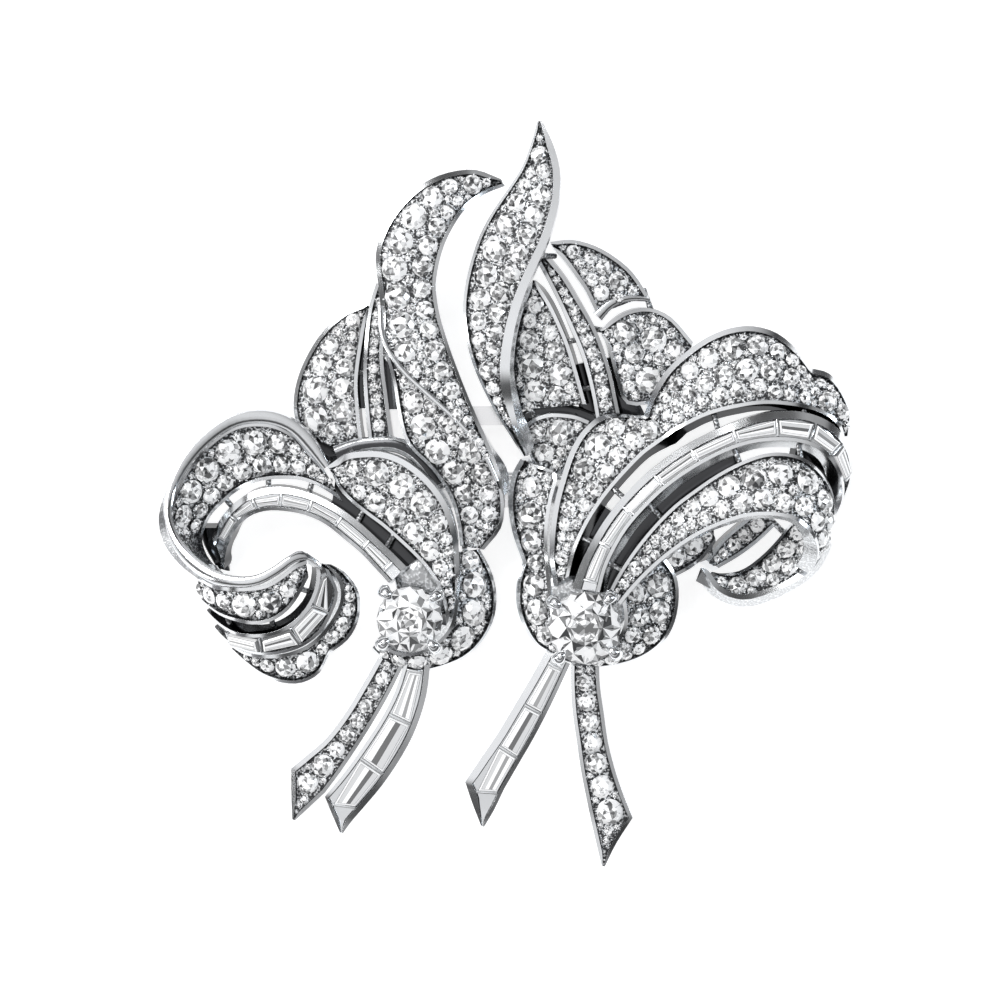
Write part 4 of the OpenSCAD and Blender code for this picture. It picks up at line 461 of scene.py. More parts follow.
RIGHT_RIBBONS = {
    "leaf": ([0.34, 0.95, 0.35], [
        (53.7, 12.3, 8.6, 54.1, 12.2, 8.7), (53.1, 14.4, 8.8, 55.2, 14.4, 9.2),
        (52.2, 16.8, 9, 55.9, 17, 9.7), (50.8, 19, 9.1, 55.9, 19.8, 10),
        (49.3, 21.2, 9.1, 55.4, 22.2, 10.2), (48, 23.6, 9.1, 54.6, 24.6, 10.3),
        (47.1, 26.2, 9.1, 53.5, 27, 10.4), (46.5, 28.8, 9.1, 52.4, 29.6, 10.5),
        (46.3, 31.4, 9.1, 51.6, 32.2, 10.5), (46.6, 34, 9, 51.1, 34.8, 10.4),
        (47.3, 36.6, 8.8, 50.9, 37.2, 10.2), (48.4, 39.2, 8.5, 51.1, 39.8, 9.8),
        (49.8, 41.8, 8.1, 51.6, 42.2, 9.2), (51.2, 44, 7.6, 52.3, 44.2, 8.4),
        (52.3, 45.7, 7, 52.8, 45.6, 7.4)]),
    "fan_top": ([0.34, 0.34, 0.3], [
        (55, 24.2, 6.4, 55.4, 24.9, 6.4), (57.2, 24, 6.2, 56.6, 26.3, 6.4),
        (59.5, 24.6, 6, 57.6, 27.7, 6.4), (61.6, 25.8, 5.8, 58.5, 29, 6.3),
        (63.3, 27.3, 5.6, 59.1, 30.2, 6.2), (64.8, 29.5, 5.4, 59.7, 31.5, 6)]),
    "fan_lip": ([], [
        (59.4, 31.3, 6.2, 60.2, 32.1, 6), (61, 30, 6.1, 61.4, 30.8, 5.9),
        (62.9, 29.5, 5.9, 63, 30.2, 5.7), (64.9, 29.8, 5.5, 64.8, 30.2, 5.3)]),
    "fan_side": ([0.34, 0.34, 0.3], [
        (60, 33, 6.2, 60.2, 33.4, 6.2), (61.2, 32, 6.1, 60.9, 35.2, 6.2),
        (62.8, 31.1, 5.9, 61.6, 37.8, 6), (65, 30.8, 5.6, 62.7, 40.4, 5.5),
        (67.2, 31.8, 5.4, 65.9, 40, 5.2), (69.3, 34.2, 5.2, 68.4, 37.4, 5.1)]),
    "fan_rib": ([0.34, 0.34, 0.1], [
        (53.6, 26, 6.2, 54.8, 25.6, 6.3), (54.8, 28.2, 6.2, 56.5, 27.7, 6.3),
        (56, 30.6, 6.2, 57.9, 30, 6.3), (57.1, 33, 6.2, 59.3, 32.4, 6.2),
        (58.1, 35.4, 6.1, 60.3, 34.8, 6.1), (58.8, 37.8, 5.9, 61.1, 37.3, 5.9),
        (59.3, 40, 5.7, 61.6, 39.6, 5.7), (59.7, 42.3, 5.4, 62.1, 42, 5.4)]),
    "fan_inner": ([0.34, 0.34, 0.3], [
        (53.2, 28, 5.4, 53.5, 28, 5.4), (52.2, 30.3, 5, 54.9, 30.2, 5.8),
        (51.5, 32.8, 4.9, 55.9, 32.2, 6), (51.1, 35.4, 4.9, 56.9, 34.6, 6.1),
        (51.1, 38, 4.9, 57.7, 37.2, 6.1), (51.8, 41, 4.9, 58.6, 40.4, 6)]),
    "fan_foot": ([0.34, 0.34, 0.2], [
        (52.1, 42.9, 5.4, 52.5, 44.5, 5), (53.3, 41.9, 5.9, 53.4, 46.5, 4.8),
        (54.8, 41.4, 6.2, 54.7, 47.5, 4.8), (56.3, 41.4, 6.3, 56.1, 47.4, 5),
        (57.6, 41.6, 6.3, 57.4, 45.8, 5.6), (58.9, 42.1, 6.2, 58.2, 43.9, 6)]),
    "foot_back": ([], [
        (51.7, 41.5, 4.6, 52, 42.7, 4.6), (53.3, 40.7, 4.6, 53.4, 41.9, 4.6),
        (55.2, 40.3, 4.6, 55.2, 41.5, 4.6), (57.3, 40.5, 4.6, 57.1, 41.7, 4.6),
        (59.6, 41.3, 4.8, 59.2, 42.6, 4.8)]),
    "scroll_crest": ([0.544, 0.34, 0.4], [
        (55.3, 58.6, 7, 56.8, 57.6, 8.2), (54.9, 55.9, 7, 57.4, 55.2, 8.2),
        (55, 53.1, 7, 58.4, 52.9, 8.2), (55.4, 50.3, 7, 59.7, 50.7, 8.2),
        (56.1, 47.7, 6.9, 61.2, 48.7, 8.3), (56.9, 45.3, 6.8, 62.9, 46.8, 8.4),
        (58.1, 43.2, 6.7, 64.3, 45.4, 8.5), (59.9, 41.6, 6.6, 65.5, 44.5, 8.6),
        (62, 41.3, 6.6, 66.6, 43.7, 8.7), (64.3, 41.5, 6.8, 67.4, 43.1, 8.7, 1),
        (65.2, 39.2, 6.9, 68.6, 42.5, 8.8), (66.6, 37, 6.9, 70, 41.8, 8.9),
        (68.5, 35.2, 6.9, 71.7, 41.2, 9), (70.7, 33.7, 6.9, 73.5, 40.8, 9.1),
        (73, 32.8, 6.9, 75.2, 40.5, 9.1), (75.3, 32.6, 6.8, 76.8, 40.4, 9),
        (77.7, 33.3, 6.7, 78.4, 40.5, 8.9), (79.8, 35, 6.5, 79.9, 40.7, 8.7),
        (81.2, 36.8, 6.4, 81.2, 41, 8.4, 1), (82.9, 37.3, 6.2, 82.2, 41.4, 8.1),
        (84.3, 38.9, 5.9, 83.2, 42, 7.7), (85.2, 41.2, 5.5, 83.9, 42.8, 7.2),
        (84.9, 43.5, 5, 84.3, 43.9, 6.4)]),
    "scroll_mid": ([0.748, 0.34, 0], [
        (57.2, 58.8, 8.6, 59.9, 59.2, 8.9), (57.9, 56.6, 8.7, 60.5, 56.9, 9.1),
        (59, 54.3, 8.8, 61.4, 54.9, 9.3), (60.3, 52.1, 8.9, 62.6, 52.9, 9.5),
        (61.9, 50, 9.1, 64.1, 51.1, 9.7), (63.8, 48, 9.2, 65.9, 49.3, 9.8),
        (65.8, 46.3, 9.4, 67.8, 47.8, 9.9), (68.1, 44.7, 9.5, 70, 46.4, 10),
        (70.5, 43.4, 9.6, 72.4, 45.2, 10.1), (73.1, 42.3, 9.7, 74.8, 44.4, 10.1),
        (75.8, 41.4, 9.7, 77.2, 44.1, 10.1), (78.4, 41.1, 9.6, 79.4, 44.2, 10),
        (80.6, 41.3, 9.4, 81.2, 44.7, 9.8), (82.7, 42.1, 9, 82.6, 45.7, 9.4),
        (84.2, 43.4, 8.3, 83.5, 46.9, 8.8), (85.1, 45.2, 7.2, 84.1, 48.3, 7.9),
        (85.2, 47.2, 5.9, 84.2, 50, 6.6), (84.6, 49.2, 4.4, 83.7, 51.5, 5.2)]),
    "scroll_low": ([0.34, 0.34, 0.35], [
        (60.6, 59.6, 8.9, 62, 60.4, 9.2), (61.5, 57.8, 9.1, 63.2, 58.9, 9.5),
        (62.6, 56, 9.3, 64.8, 57.2, 9.9), (63.9, 54.2, 9.5, 66.6, 55.6, 10.3),
        (65.5, 52.3, 9.7, 68.5, 54.2, 10.7), (67.3, 50.5, 9.9, 70.4, 53.1, 11.1),
        (69.4, 48.9, 10.1, 72.3, 52.3, 11.5), (71.6, 47.4, 10.2, 74.2, 51.7, 11.8),
        (73.9, 46.2, 10.3, 76.1, 51.5, 12), (76.2, 45.4, 10.3, 77.8, 51.6, 12.1),
        (78.4, 45.3, 10.2, 79.3, 52, 12), (80.4, 45.9, 9.9, 80.4, 52.8, 11.7),
        (82, 47.2, 9.3, 81.2, 53.8, 11.2), (83.1, 48.9, 8.3, 81.6, 55, 10.4),
        (83.5, 51, 6.9, 81.5, 56.2, 9.2), (83.1, 53.4, 5.2, 80.9, 57.4, 7.4)]),
    "curl_inner": ([0.34, 0.34, 0], [
        (70.6, 56, 5.6, 71.9, 56.8, 5.2), (72.4, 53.8, 4.4, 74, 55.6, 4),
        (74.3, 52.2, 3.6, 75.9, 54.2, 3.2), (76, 50.8, 3.2, 77.6, 52.6, 2.9)]),
    "curl_outer": ([0.34, 0.51, 0], [
        (71.6, 57.4, 5.6, 70.1, 56.6, 6.6), (74, 57, 4.4, 71.8, 59, 6.4),
        (76, 55.7, 3.6, 74.2, 59.9, 6.3), (77.8, 53.9, 3.2, 76.8, 59.3, 6.2),
        (79.2, 52.2, 3.2, 79.3, 58.2, 6.1), (80.6, 51.4, 3.6, 81.4, 56.6, 5.9),
        (81.8, 51.2, 4.2, 82.8, 54.2, 5.4)]),
    "column": ([0.51, 0.34, 0.25], [
        (52, 45.9, 5, 53.2, 46.4, 5.6), (51.2, 47.4, 4.8, 55.6, 47.4, 6.2),
        (50.8, 49.5, 4.7, 55.2, 49.7, 6.4), (50.9, 51.8, 4.7, 54.8, 52, 6.4),
        (51.4, 54, 4.7, 54.7, 54.3, 6.4), (52.2, 56.2, 4.8, 54.8, 56.4, 6.4, 1),
        (51.6, 58.4, 4.6, 55, 58.6, 6.6), (51.6, 60.6, 4.5, 55.2, 60.6, 6.8),
        (52.3, 62.8, 4.4, 55.5, 62.4, 6.9), (53.5, 64.6, 4.4, 55.9, 63.8, 6.8),
        (55, 65.5, 4.5, 56.6, 65, 6.4)]),
    "lobe_right": ([0.34, 0.34, 0.2], [
        (66.4, 55.6, 6.6, 62.4, 58.8, 7.6), (67.6, 57.5, 6.2, 62.2, 60.1, 7.6),
        (67.9, 59.7, 5.8, 62.4, 61.2, 7.6), (67.5, 62.2, 5.5, 62.4, 62.4, 7.5),
        (66.5, 64.1, 5.2, 61.9, 63.6, 7.4), (65, 65.4, 5, 61.2, 64.7, 7.2),
        (63.2, 66.2, 4.8, 60.2, 65.4, 7), (61, 66.7, 4.7, 59.1, 65.8, 6.8),
        (58.6, 66.8, 4.6, 57.9, 65.9, 6.6), (56.2, 66.1, 4.6, 56.6, 65.4, 6.4)]),
    "lobe_behind": ([0.34, 0.34, 0.2], [
        (65.6, 55.4, 6.6, 67.5, 57.7, 5.8), (67.6, 54, 6.6, 69, 56.9, 5.6),
        (69.6, 52.8, 6.6, 70.4, 55.8, 5.5), (71.2, 52.2, 6.6, 71.6, 54.2, 5.6)]),
    "tail_bars_right": ([0.68, 0.34, 0], [
        (54.5, 65.3, 5, 57, 66.4, 5), (53, 68, 4.9, 55.9, 68.8, 4.9), (51.4, 70.7, 4.7, 54.7, 71.3, 4.7),
        (49.8, 73.4, 4.4, 53.4, 73.8, 4.4), (48.1, 75.9, 4.1, 51.9, 76.4, 4.1),
        (46.5, 78.3, 3.8, 50.4, 79, 3.8, 1), (47.2, 80.4, 3.5, 49.4, 81.1, 3.5),
        (48.1, 82.7, 3.2, 48.4, 82.8, 3.2)]),
    "tail_pave_right": ([0.34, 0.34, 0], [
        (57.1, 65.8, 4.9, 59.9, 65.8, 4.9), (57.1, 68.6, 4.8, 60, 68.6, 4.8),
        (57.3, 71.4, 4.6, 60.4, 71.4, 4.6), (57.7, 74.2, 4.4, 60.8, 74.2, 4.4),
        (58.1, 77, 4.1, 61.5, 77, 4.1), (58.6, 79.6, 3.8, 62.3, 79.4, 3.8),
        (59.1, 82, 3.5, 63.3, 81.9, 3.5, 1), (59.7, 84.6, 3.3, 61.7, 84.4, 3.3),
        (60.2, 86.7, 3.1, 60.5, 86.8, 3.1)]),
}
LEFT_BACKS = {
    "slot_back": ([], [
        (33.1, 50.7, 5.6, 33.5, 48, 5.6), (35, 51.9, 5.7, 35.9, 49.9, 5.7),
        (37, 53.7, 5.9, 38.2, 51.8, 5.9), (38.9, 55.5, 6.1, 40.3, 53.6, 6.1),
        (40.5, 57, 6.3, 42, 55.5, 6.3)]),
    "stone_back": ([], [
        (39.9, 57.2, 6.4, 39.6, 59.6, 6.4), (42.4, 55.6, 6.5, 41.6, 59.4, 6.5),
        (44.4, 58.4, 6.5, 43, 60.4, 6.5), (45.2, 61.6, 6.2, 43.8, 61.8, 6.2)]),
    "plume_line": ([], [
        (37.8, 30.6, 9, 38.25, 30.6, 9), (38.05, 33.8, 9.6, 38.5, 33.7, 9.6),
        (39.8, 36.9, 10, 40.15, 36.6, 10), (42.7, 39.7, 10.3, 43.05, 39.35, 10.3),
        (45.7, 42.4, 10.4, 46.05, 42.1, 10.4), (48.05, 45.2, 10.2, 48.45, 44.95, 10.2),
        (49.5, 48.2, 9.8, 49.9, 48.1, 9.8)]),
    "end_back": ([], [
        (19.8, 52.8, 3.4, 22, 52.8, 3.6), (20.2, 54.6, 2.8, 22.3, 55.2, 2.9),
        (21.4, 56.8, 2.3, 22.8, 57.2, 2.3)]),
    "fan_back": ([], [
        (36.8, 32, 4.2, 37, 32, 4.2), (35.4, 34, 4, 37, 34, 4), (35.2, 40.8, 3.8, 37.2, 40.8, 3.8)]),
    "notch_back": ([], [
        (31.6, 43.2, 4, 31.4, 45.2, 4.4), (33, 43.6, 3.8, 32.8, 46, 4.4),
        (34.6, 43.8, 3.6, 34.6, 45.8, 4.2)]),
    "rib_back": ([], [
        (38, 34, 4.4, 39.6, 34.6, 4.4), (38, 37, 4.2, 39.8, 37.4, 4.2), (38.2, 40.9, 4, 40, 40.9, 4)]),
}
RIGHT_BACKS = {
    "lane_back": ([], [
        (56.8, 57.4, 5.6, 58.6, 57.6, 5.6), (57.6, 54.6, 5.8, 59.5, 55.2, 5.8),
        (58.9, 52, 6, 60.8, 53.2, 6), (60.1, 50.4, 6.2, 61.9, 51.7, 6.2)]),
    "slot_back": ([], [
        (59.8, 58.6, 7, 61.4, 59.2, 7), (60.8, 56, 7.1, 62.4, 57.2, 7.1), (62, 53.4, 7.2, 63.7, 55, 7.2),
        (63.6, 51, 7.4, 65.5, 52.9, 7.4), (65.8, 48.8, 7.6, 67.6, 50.8, 7.6),
        (68.6, 46.8, 7.8, 70.1, 48.9, 7.8), (71.4, 45.3, 8, 72.8, 47.3, 8), (73, 44.8, 8, 74, 46.6, 8)]),
    "slot_end": ([], [
        (79.6, 44.4, 7.8, 79.3, 46, 7.8), (81.3, 45, 7.2, 80.6, 46.9, 7.2), (82.9, 46.6, 6, 81.9, 48, 6),
        (83.8, 48.8, 4.6, 82.9, 50, 4.6)]),
    "stone_back": ([], [
        (54.9, 57.6, 6.4, 55.6, 61.4, 6.4), (57.2, 57.4, 6.6, 57.4, 60.6, 6.6),
        (60, 58, 6.8, 59.8, 60.4, 6.8), (62.2, 59.4, 6.8, 61.2, 61.4, 6.8),
        (63.2, 61.6, 6.5, 61.8, 62.4, 6.5), (62.8, 64, 6.2, 61.4, 63.8, 6.2)]),
    "fan_back": ([], [
        (56.8, 36.6, 4.6, 58.6, 36.2, 4.6), (57.4, 39, 4.4, 59.2, 38.8, 4.4),
        (58.2, 41.6, 4.2, 60, 41.6, 4.2)]),
    "rib_back": ([], [
        (60.6, 35.8, 4.6, 62, 35.6, 4.6), (61, 38.4, 4.4, 62.6, 38.2, 4.4),
        (61.6, 40.4, 4.2, 63.6, 39.6, 4.2), (61.8, 41.8, 4, 64.6, 41.6, 4)]),
}
LEFT_BRIDGES = [
    (26.8, 47.6, 5.4, 26.8, 49.6, 5.2), (31.2, 48.2, 5.8, 30.6, 50.2, 5.6),
    (22.4, 49.8, 5, 23.6, 51.2, 4.6), (36.4, 50.9, 7, 35.4, 52.8, 6.4), (39.4, 53.4, 7.4, 38.4, 55.2, 7),
    (27.2, 61.6, 9.8, 27.6, 63.8, 8.8), (30, 58.8, 9.9, 32, 59.4, 9.4),
    (22.6, 60.8, 8.6, 23.4, 63.8, 7.4), (35.4, 37.2, 4.1, 36.8, 37.2, 4.8),
    (35, 43.8, 3.9, 38, 44.4, 4.2), (38.2, 44.4, 4.2, 41.6, 44.6, 6), (37.8, 31.4, 5.6, 39.4, 31.6, 8),
    (37.8, 34.6, 5.2, 39.6, 37, 6.6), (45.2, 48.2, 5.1, 43.2, 49, 8.5), (34.6, 44, 3.6, 35.6, 46.4, 7.8),
    (46.4, 53.6, 5.4, 46.6, 57.4, 5.2), (43.5, 61.3, 8.4, 44.9, 61, 7.4),
    (42.4, 64.1, 8.2, 43.2, 65.2, 5.1), (40.5, 64.2, 8.2, 40.9, 65.8, 4.9),
    (40.1, 59.5, 8.4, 39.8, 58, 7.3)]
RIGHT_BRIDGES = [
    (61, 48.6, 7.6, 62.6, 50, 8.4), (71.2, 41, 8.2, 71.8, 43.4, 8.8), (80.2, 40.4, 7.8, 80.4, 42.4, 8.6),
    (57.8, 53.6, 7.4, 60.2, 54.6, 8.2), (64.6, 50.2, 9, 66.2, 52, 9), (73.2, 44.6, 9.4, 74, 46.8, 9.4),
    (79.6, 43.8, 9.2, 80, 46.4, 9.2), (61, 56.4, 8.4, 62.6, 57.2, 8.6),
    (56.4, 34.2, 5.2, 58.6, 33.8, 5.4), (59.2, 32.8, 5.4, 61.2, 33.2, 5.2),
    (64.4, 29, 4.6, 65.2, 31.2, 4.8), (57.9, 38.9, 5.2, 60, 38.7, 5), (55.4, 25.6, 5.6, 53.6, 25.6, 8.6),
    (53, 30.4, 4.4, 51.4, 30.6, 9.2), (53, 40.2, 4.2, 53.8, 43, 5), (57.4, 41.6, 5.2, 58.8, 43.4, 6),
    (61.6, 37.4, 5, 63.4, 38, 5), (52.2, 44.6, 7, 53.6, 45.2, 4.6), (66, 56.2, 5.9, 65.4, 55.2, 9),
    (70.2, 53.4, 6, 70, 52.2, 9.9), (77, 51.8, 2.4, 78.6, 53.4, 2.6), (80.9, 52.4, 3, 81.8, 54.8, 8.6),
    (71.2, 56, 4.8, 70.8, 53.6, 5.6), (58.3, 59.7, 8.8, 58.5, 59, 7.9), (60.6, 60.8, 8.8, 61.4, 60, 8.2),
    (55.9, 62.2, 8.6, 55.3, 61.9, 5.6), (60.4, 64.9, 8.8, 61.4, 65.4, 6.1),
    (57.6, 65.6, 8.8, 57.5, 66.3, 5.4)]

# %% [markdown]
# ## From the chart to the model
# A ribbon's section lies between its two edge points. The curve through the rows is smooth except at the
# corners, which are the notches between scallops.

# %% Places and sections
SQUARE = {"left": (32.6 / 34.74, 62.7 / 66.8, 12.1 / 12.9), "right": (32.5 / 34.55, 70.1 / 74.6, 11.4 / 12.1)}
MEET_LINE, MEET_X, MID_Y = 0.05, 50.65, 49.5
NEARBY = 0.03
# How far a ribbon's two walls spread towards the back.
FLARES = {
    "scroll_mid": (0.45, 0.55), "scroll_crest": (0, 0.35), "scroll_low": (0.3, 0), "fan_rib": (0.2, 0.2),
    "fan_inner": (0, 0.2), "scroll_bars": (0.35, 0.1), "scroll_pave": (0, 0.3), "shell": (0, 0.3),
    "curl_top": (0, 0.35), "curl_bars": (0.3, 0), "fan_strip": (0.2, 0.2), "fan_outer": (0, 0.15),
    "curl_inner": (0.15, 0.15), "curl_outer": (0.15, 0), "fan_side": (0.15, 0),
}


def chart(side, x, y, z):
    """A place on the chart, in millimetres of the model."""
    wide, high, deep = SQUARE[side]
    return Vector((MEET_LINE + (x - MEET_X) * wide, (MID_Y - y) * high, z * deep))


def slope(rows, i, way):
    """How the two edges run out of row i (way 1) or into it (way -1)."""
    if i == 0 or (way > 0 and rows[i][2] and i < len(rows) - 1):
        return [rows[i + 1][k] - rows[i][k] for k in (0, 1)]
    if i == len(rows) - 1 or (way < 0 and rows[i][2]):
        return [rows[i][k] - rows[i - 1][k] for k in (0, 1)]
    return [(rows[i + 1][k] - rows[i - 1][k]) / 2 for k in (0, 1)]


def edges_at(rows, u):
    """Both edge points at u, counted in rows along the ribbon."""
    i = max(0, min(int(u), len(rows) - 2))
    f = u - i
    g = 1 - f
    out, into = slope(rows, i, 1), slope(rows, i + 1, -1)
    return [
        rows[i][k] * ((1 + 2 * f) * g * g)
        + out[k] * (f * g * g)
        + rows[i + 1][k] * (f * f * (3 - 2 * f))
        - into[k] * (f * f * g)
        for k in (0, 1)
    ]


def edges_around(ribbon, u):
    """Both edge points a little after u, and a little before it."""
    rows = ribbon["rows"]
    return edges_at(rows, min(ribbon["last"], u + NEARBY)), edges_at(rows, max(0, u - NEARBY))


def section_at(ribbon, u):
    """First edge point, direction across, direction up, width and direction along at u."""
    first, other = edges_at(ribbon["rows"], u)
    ahead, behind = edges_around(ribbon, u)
    along = (ahead[0] + ahead[1] - behind[0] - behind[1]).normalized()
    wide = other - first
    up = along.cross(-wide).normalized() * ribbon["turn"]
    return first, wide.normalized(), up, wide.length, along


def lay_ribbon(side, name, spec):
    """A ribbon of the chart laid out in the model."""
    widths, rows = spec
    rows = [(chart(side, *r[:3]), chart(side, *r[3:6]), len(r) > 6) for r in rows]
    ribbon = {
        "name": name, "rows": rows, "last": len(rows) - 1, "rims": widths[:2],
        "crown": widths[2] if widths else 0, "flare": FLARES.get(name, (0, 0)), "turn": 1,
    }
    if section_at(ribbon, ribbon["last"] / 2)[2].z < 0:
        ribbon["turn"] = -1
    return ribbon


CLIPS = {
    side: {name: lay_ribbon(side, name, spec) for name, spec in table.items()}
    for side, table in (("left", LEFT_RIBBONS | LEFT_BACKS), ("right", RIGHT_RIBBONS | RIGHT_BACKS))
}
print("ribbons:", {side: len(ribbons) for side, ribbons in CLIPS.items()})

# %% [markdown]
# ## The ribbons' metal
# A jeweller saws and files each ribbon out of sheet, so every section has the same outline: two narrow rims, a
# sunk floor with a soft crown, and a plain back. The outline is drawn once as a ring of edges, and
# `extrude_edge_only` pulls it from station to station along the edge lines; the two ends are filled. A Bevel
# modifier then breaks the sharp edges, because real metal always shows a bright line there.
#
# A rim keeps its full width where a section runs at a slant to the edge, up to the slant of `LEAST_SLANT`. The
# leaf's rims also widen downwards, by the shares in `WIDENING`, and the rims of `LEVEL_RIMS` don't fall
# outwards. A face's recess is 0 on the rims, 1 on the floor and higher on the line between them. It sets the
# painted shade, so the floor and that line are painted dark.

# %% Outline of a section
CHANNEL_DEPTH, RIBBON_THICKNESS, BAND_ROUND, BACK_INSET = 0.32, 1.5, 0.25, 0.12
LEAST_SLANT, WIDEST_RIM, NARROW_RIBBON = 0.3, 0.3, 8
FLOOR_STEPS, CROWN_POWER, RIM_FALL = 6, 1.4, 0.2
LEVEL_RIMS, WIDENING = ("fan_top", "fan_side"), {"leaf": (0.6, 1.15)}
# Recess of each stretch of an outline, which sets its painted shade. A wall that flares a little faces a
# neighbour's wall, and is painted dark as shade.
FLOOR, RIM_LINE, WALL, WALL_PAINTED_SHADE, BACK, WIDE_FLARE = 1, 1.7, 0.25, 2, 0.6, 0.5


def edge_slant(ribbon, u):
    """For each edge, the sine between the section's line and the edge: 1 where they are square."""
    first, other = edges_at(ribbon["rows"], u)
    across = (other - first).normalized()
    runs = [(a - b).normalized() for a, b in zip(*edges_around(ribbon, u))]
    return [max(LEAST_SLANT, run.cross(across).length) for run in runs]


def floor_of(ribbon, u, width):
    """Where the floor starts, its width, its depth and the rise of its crown."""
    deep = min(CHANNEL_DEPTH, width / 4)
    start, end = WIDENING.get(ribbon["name"], (1, 1))
    swell = start + (end - start) * u / ribbon["last"]
    rims = [
        min(swell * rim / slant, WIDEST_RIM * width) + deep / 3
        for rim, slant in zip(ribbon["rims"], edge_slant(ribbon, u))
    ]
    return rims[0], width - rims[0] - rims[1], deep, min(ribbon["crown"], width / NARROW_RIBBON)


def outline(ribbon, u, width):
    """Points [across, up] of a section, and the recess of each stretch from point to point."""
    inset = min(BACK_INSET, width / NARROW_RIBBON)
    low, high = ribbon["flare"]
    back = [(width - inset + high, -RIBBON_THICKNESS), (inset - low, -RIBBON_THICKNESS)]
    far_wall, near_wall = (WALL_PAINTED_SHADE if 0 < flare < WIDE_FLARE else WALL for flare in (high, low))
    walls = [far_wall, BACK, near_wall]
    if not ribbon["rims"]:
        drop, side = min(BAND_ROUND, width / 4), width / 4
        half = [(0, -drop), (side / 3, -drop / 3), (side, 0)]
        return half + [(width - a, h) for a, h in reversed(half)] + back, [0] * 5 + walls
    start, wide, deep, rise = floor_of(ribbon, u, width)
    spans = [k / FLOOR_STEPS for k in range(FLOOR_STEPS + 1)]
    floor_points = [(start + s * wide, rise * (1 - abs(1 - 2 * s) ** CROWN_POWER) - deep) for s in spans]
    inner, outer = start - deep / 3, start + wide + deep / 3
    fall = 0 if ribbon["name"] in LEVEL_RIMS else RIM_FALL
    face = [(0, -fall * inner), (inner, 0), *floor_points, (outer, 0), (width, -fall * (width - outer))]
    return face + back, [0, RIM_LINE] + [FLOOR] * FLOOR_STEPS + [RIM_LINE, 0] + walls


# %% Extruding a section along its stations
def sweep(bm, sections, marks):
    """Extrudes a closed outline through its sections, marks the faces' recess and closes both ends."""
    recess = bm.faces.layers.float["recess"]
    count = len(sections[0])
    ring = [bm.verts.new(p) for p in sections[0]]
    edges = [bm.edges.new((ring[j], ring[(j + 1) % count])) for j in range(count)]
    ends, faces = list(edges), []
    for section in sections[1:]:
        made = set(bmesh.ops.extrude_edge_only(bm, edges=edges)["geom"])
        step = [next(e.other_vert(v) for e in v.link_edges if e.other_vert(v) in made) for v in ring]
        for vertex, place in zip(step, section):
            vertex.co = place
        for j in range(count):
            k = (j + 1) % count
            face = bm.faces.get((ring[j], ring[k], step[k], step[j]))
            face[recess] = marks[j]
            faces.append(face)
        edges = [bm.edges.get((step[j], step[(j + 1) % count])) for j in range(count)]
        ring = step
    faces += bmesh.ops.holes_fill(bm, edges=ends + edges, sides=0)["faces"]
    bmesh.ops.recalc_face_normals(bm, faces=faces)
    return faces


MOST_TURN, FEWEST_STEPS, MOST_STEPS = 7, 3, 10


def stations(ribbon):
    """Stations along a ribbon, close where it turns or twists."""
    spots = []
    for i in range(ribbon["last"]):
        a, b = section_at(ribbon, i + 0.05), section_at(ribbon, i + 0.95)
        turn = max(math.degrees(a[k].angle(b[k])) for k in (2, 4))
        steps = max(FEWEST_STEPS, min(MOST_STEPS, math.ceil(turn / MOST_TURN)))
        spots += [i + k / steps for k in range(steps)]
    return spots + [ribbon["last"]]


# %% A ribbon's metal
# Channels for baguettes are polished inside, and their floors get no painted shade. The bands at the back are
# painted dark as shade, but the shell's keeps its bright edges, and those beside the large stones get a lighter
# painted shade.
POLISHED_INSIDE = ("scroll_bars", "curl_bars", "tail_bars", "scroll_mid", "tail_bars_right")
BAND_MARKS = {
    name: [WALL_PAINTED_SHADE] * 8
    for name in (
        "slot_back", "fan_back", "rib_back", "end_back", "slot_end", "foot_back", "notch_back", "lane_back",
    )
} | {
    "shell_back": [0, 0.3, WALL_PAINTED_SHADE, 0.3, 0, WALL_PAINTED_SHADE, BACK, WALL_PAINTED_SHADE],
    "stone_back": [0.5] * 8,
}


def add_ribbon(bm, ribbon):
    """One ribbon, from its first row to its last."""
    sections, marks = [], None
    for u in stations(ribbon):
        first, across, up, width, along = section_at(ribbon, u)
        points, marks = outline(ribbon, u, width)
        sections.append([first + across * a + up * h for a, h in points])
    if ribbon["name"] in POLISHED_INSIDE:
        marks = [0 if mark <= FLOOR else mark for mark in marks]
    sweep(bm, sections, BAND_MARKS.get(ribbon["name"], marks))


# %% [markdown]
# ## Ties, feet and the seats of the two large stones
# Short bars soldered across the openings hold neighbouring ribbons together. Each large stone stands in a cone
# of metal, spun round its axis, and four claws rise from the cone and bend over the girdle. On the back, two
# legs a clip run down to tongues that slide into the fitting.

# %% Ties between ribbons
TIE_RADIUS, TIE_SIDES, TIE_SOLDER, TIE_RECESS = 0.27, 8, 0.3, 0.9


def add_ties(bm, side, rows):
    """Round tie bars between pairs of places, rougher and nearly as dark as a floor with its painted shade."""
    recess = bm.faces.layers.float["recess"]
    for row in rows:
        a, b = chart(side, *row[:3]), chart(side, *row[3:])
        turn = (b - a).to_track_quat("Z", "Y").to_matrix().to_4x4()
        made = bmesh.ops.create_cone(
            bm, cap_ends=True, segments=TIE_SIDES, radius1=TIE_RADIUS, radius2=TIE_RADIUS,
            depth=(b - a).length + TIE_SOLDER, matrix=Matrix.Translation((a + b) / 2) @ turn,
        )
        for face in {face for vertex in made["verts"] for face in vertex.link_faces}:
            face[recess] = TIE_RECESS


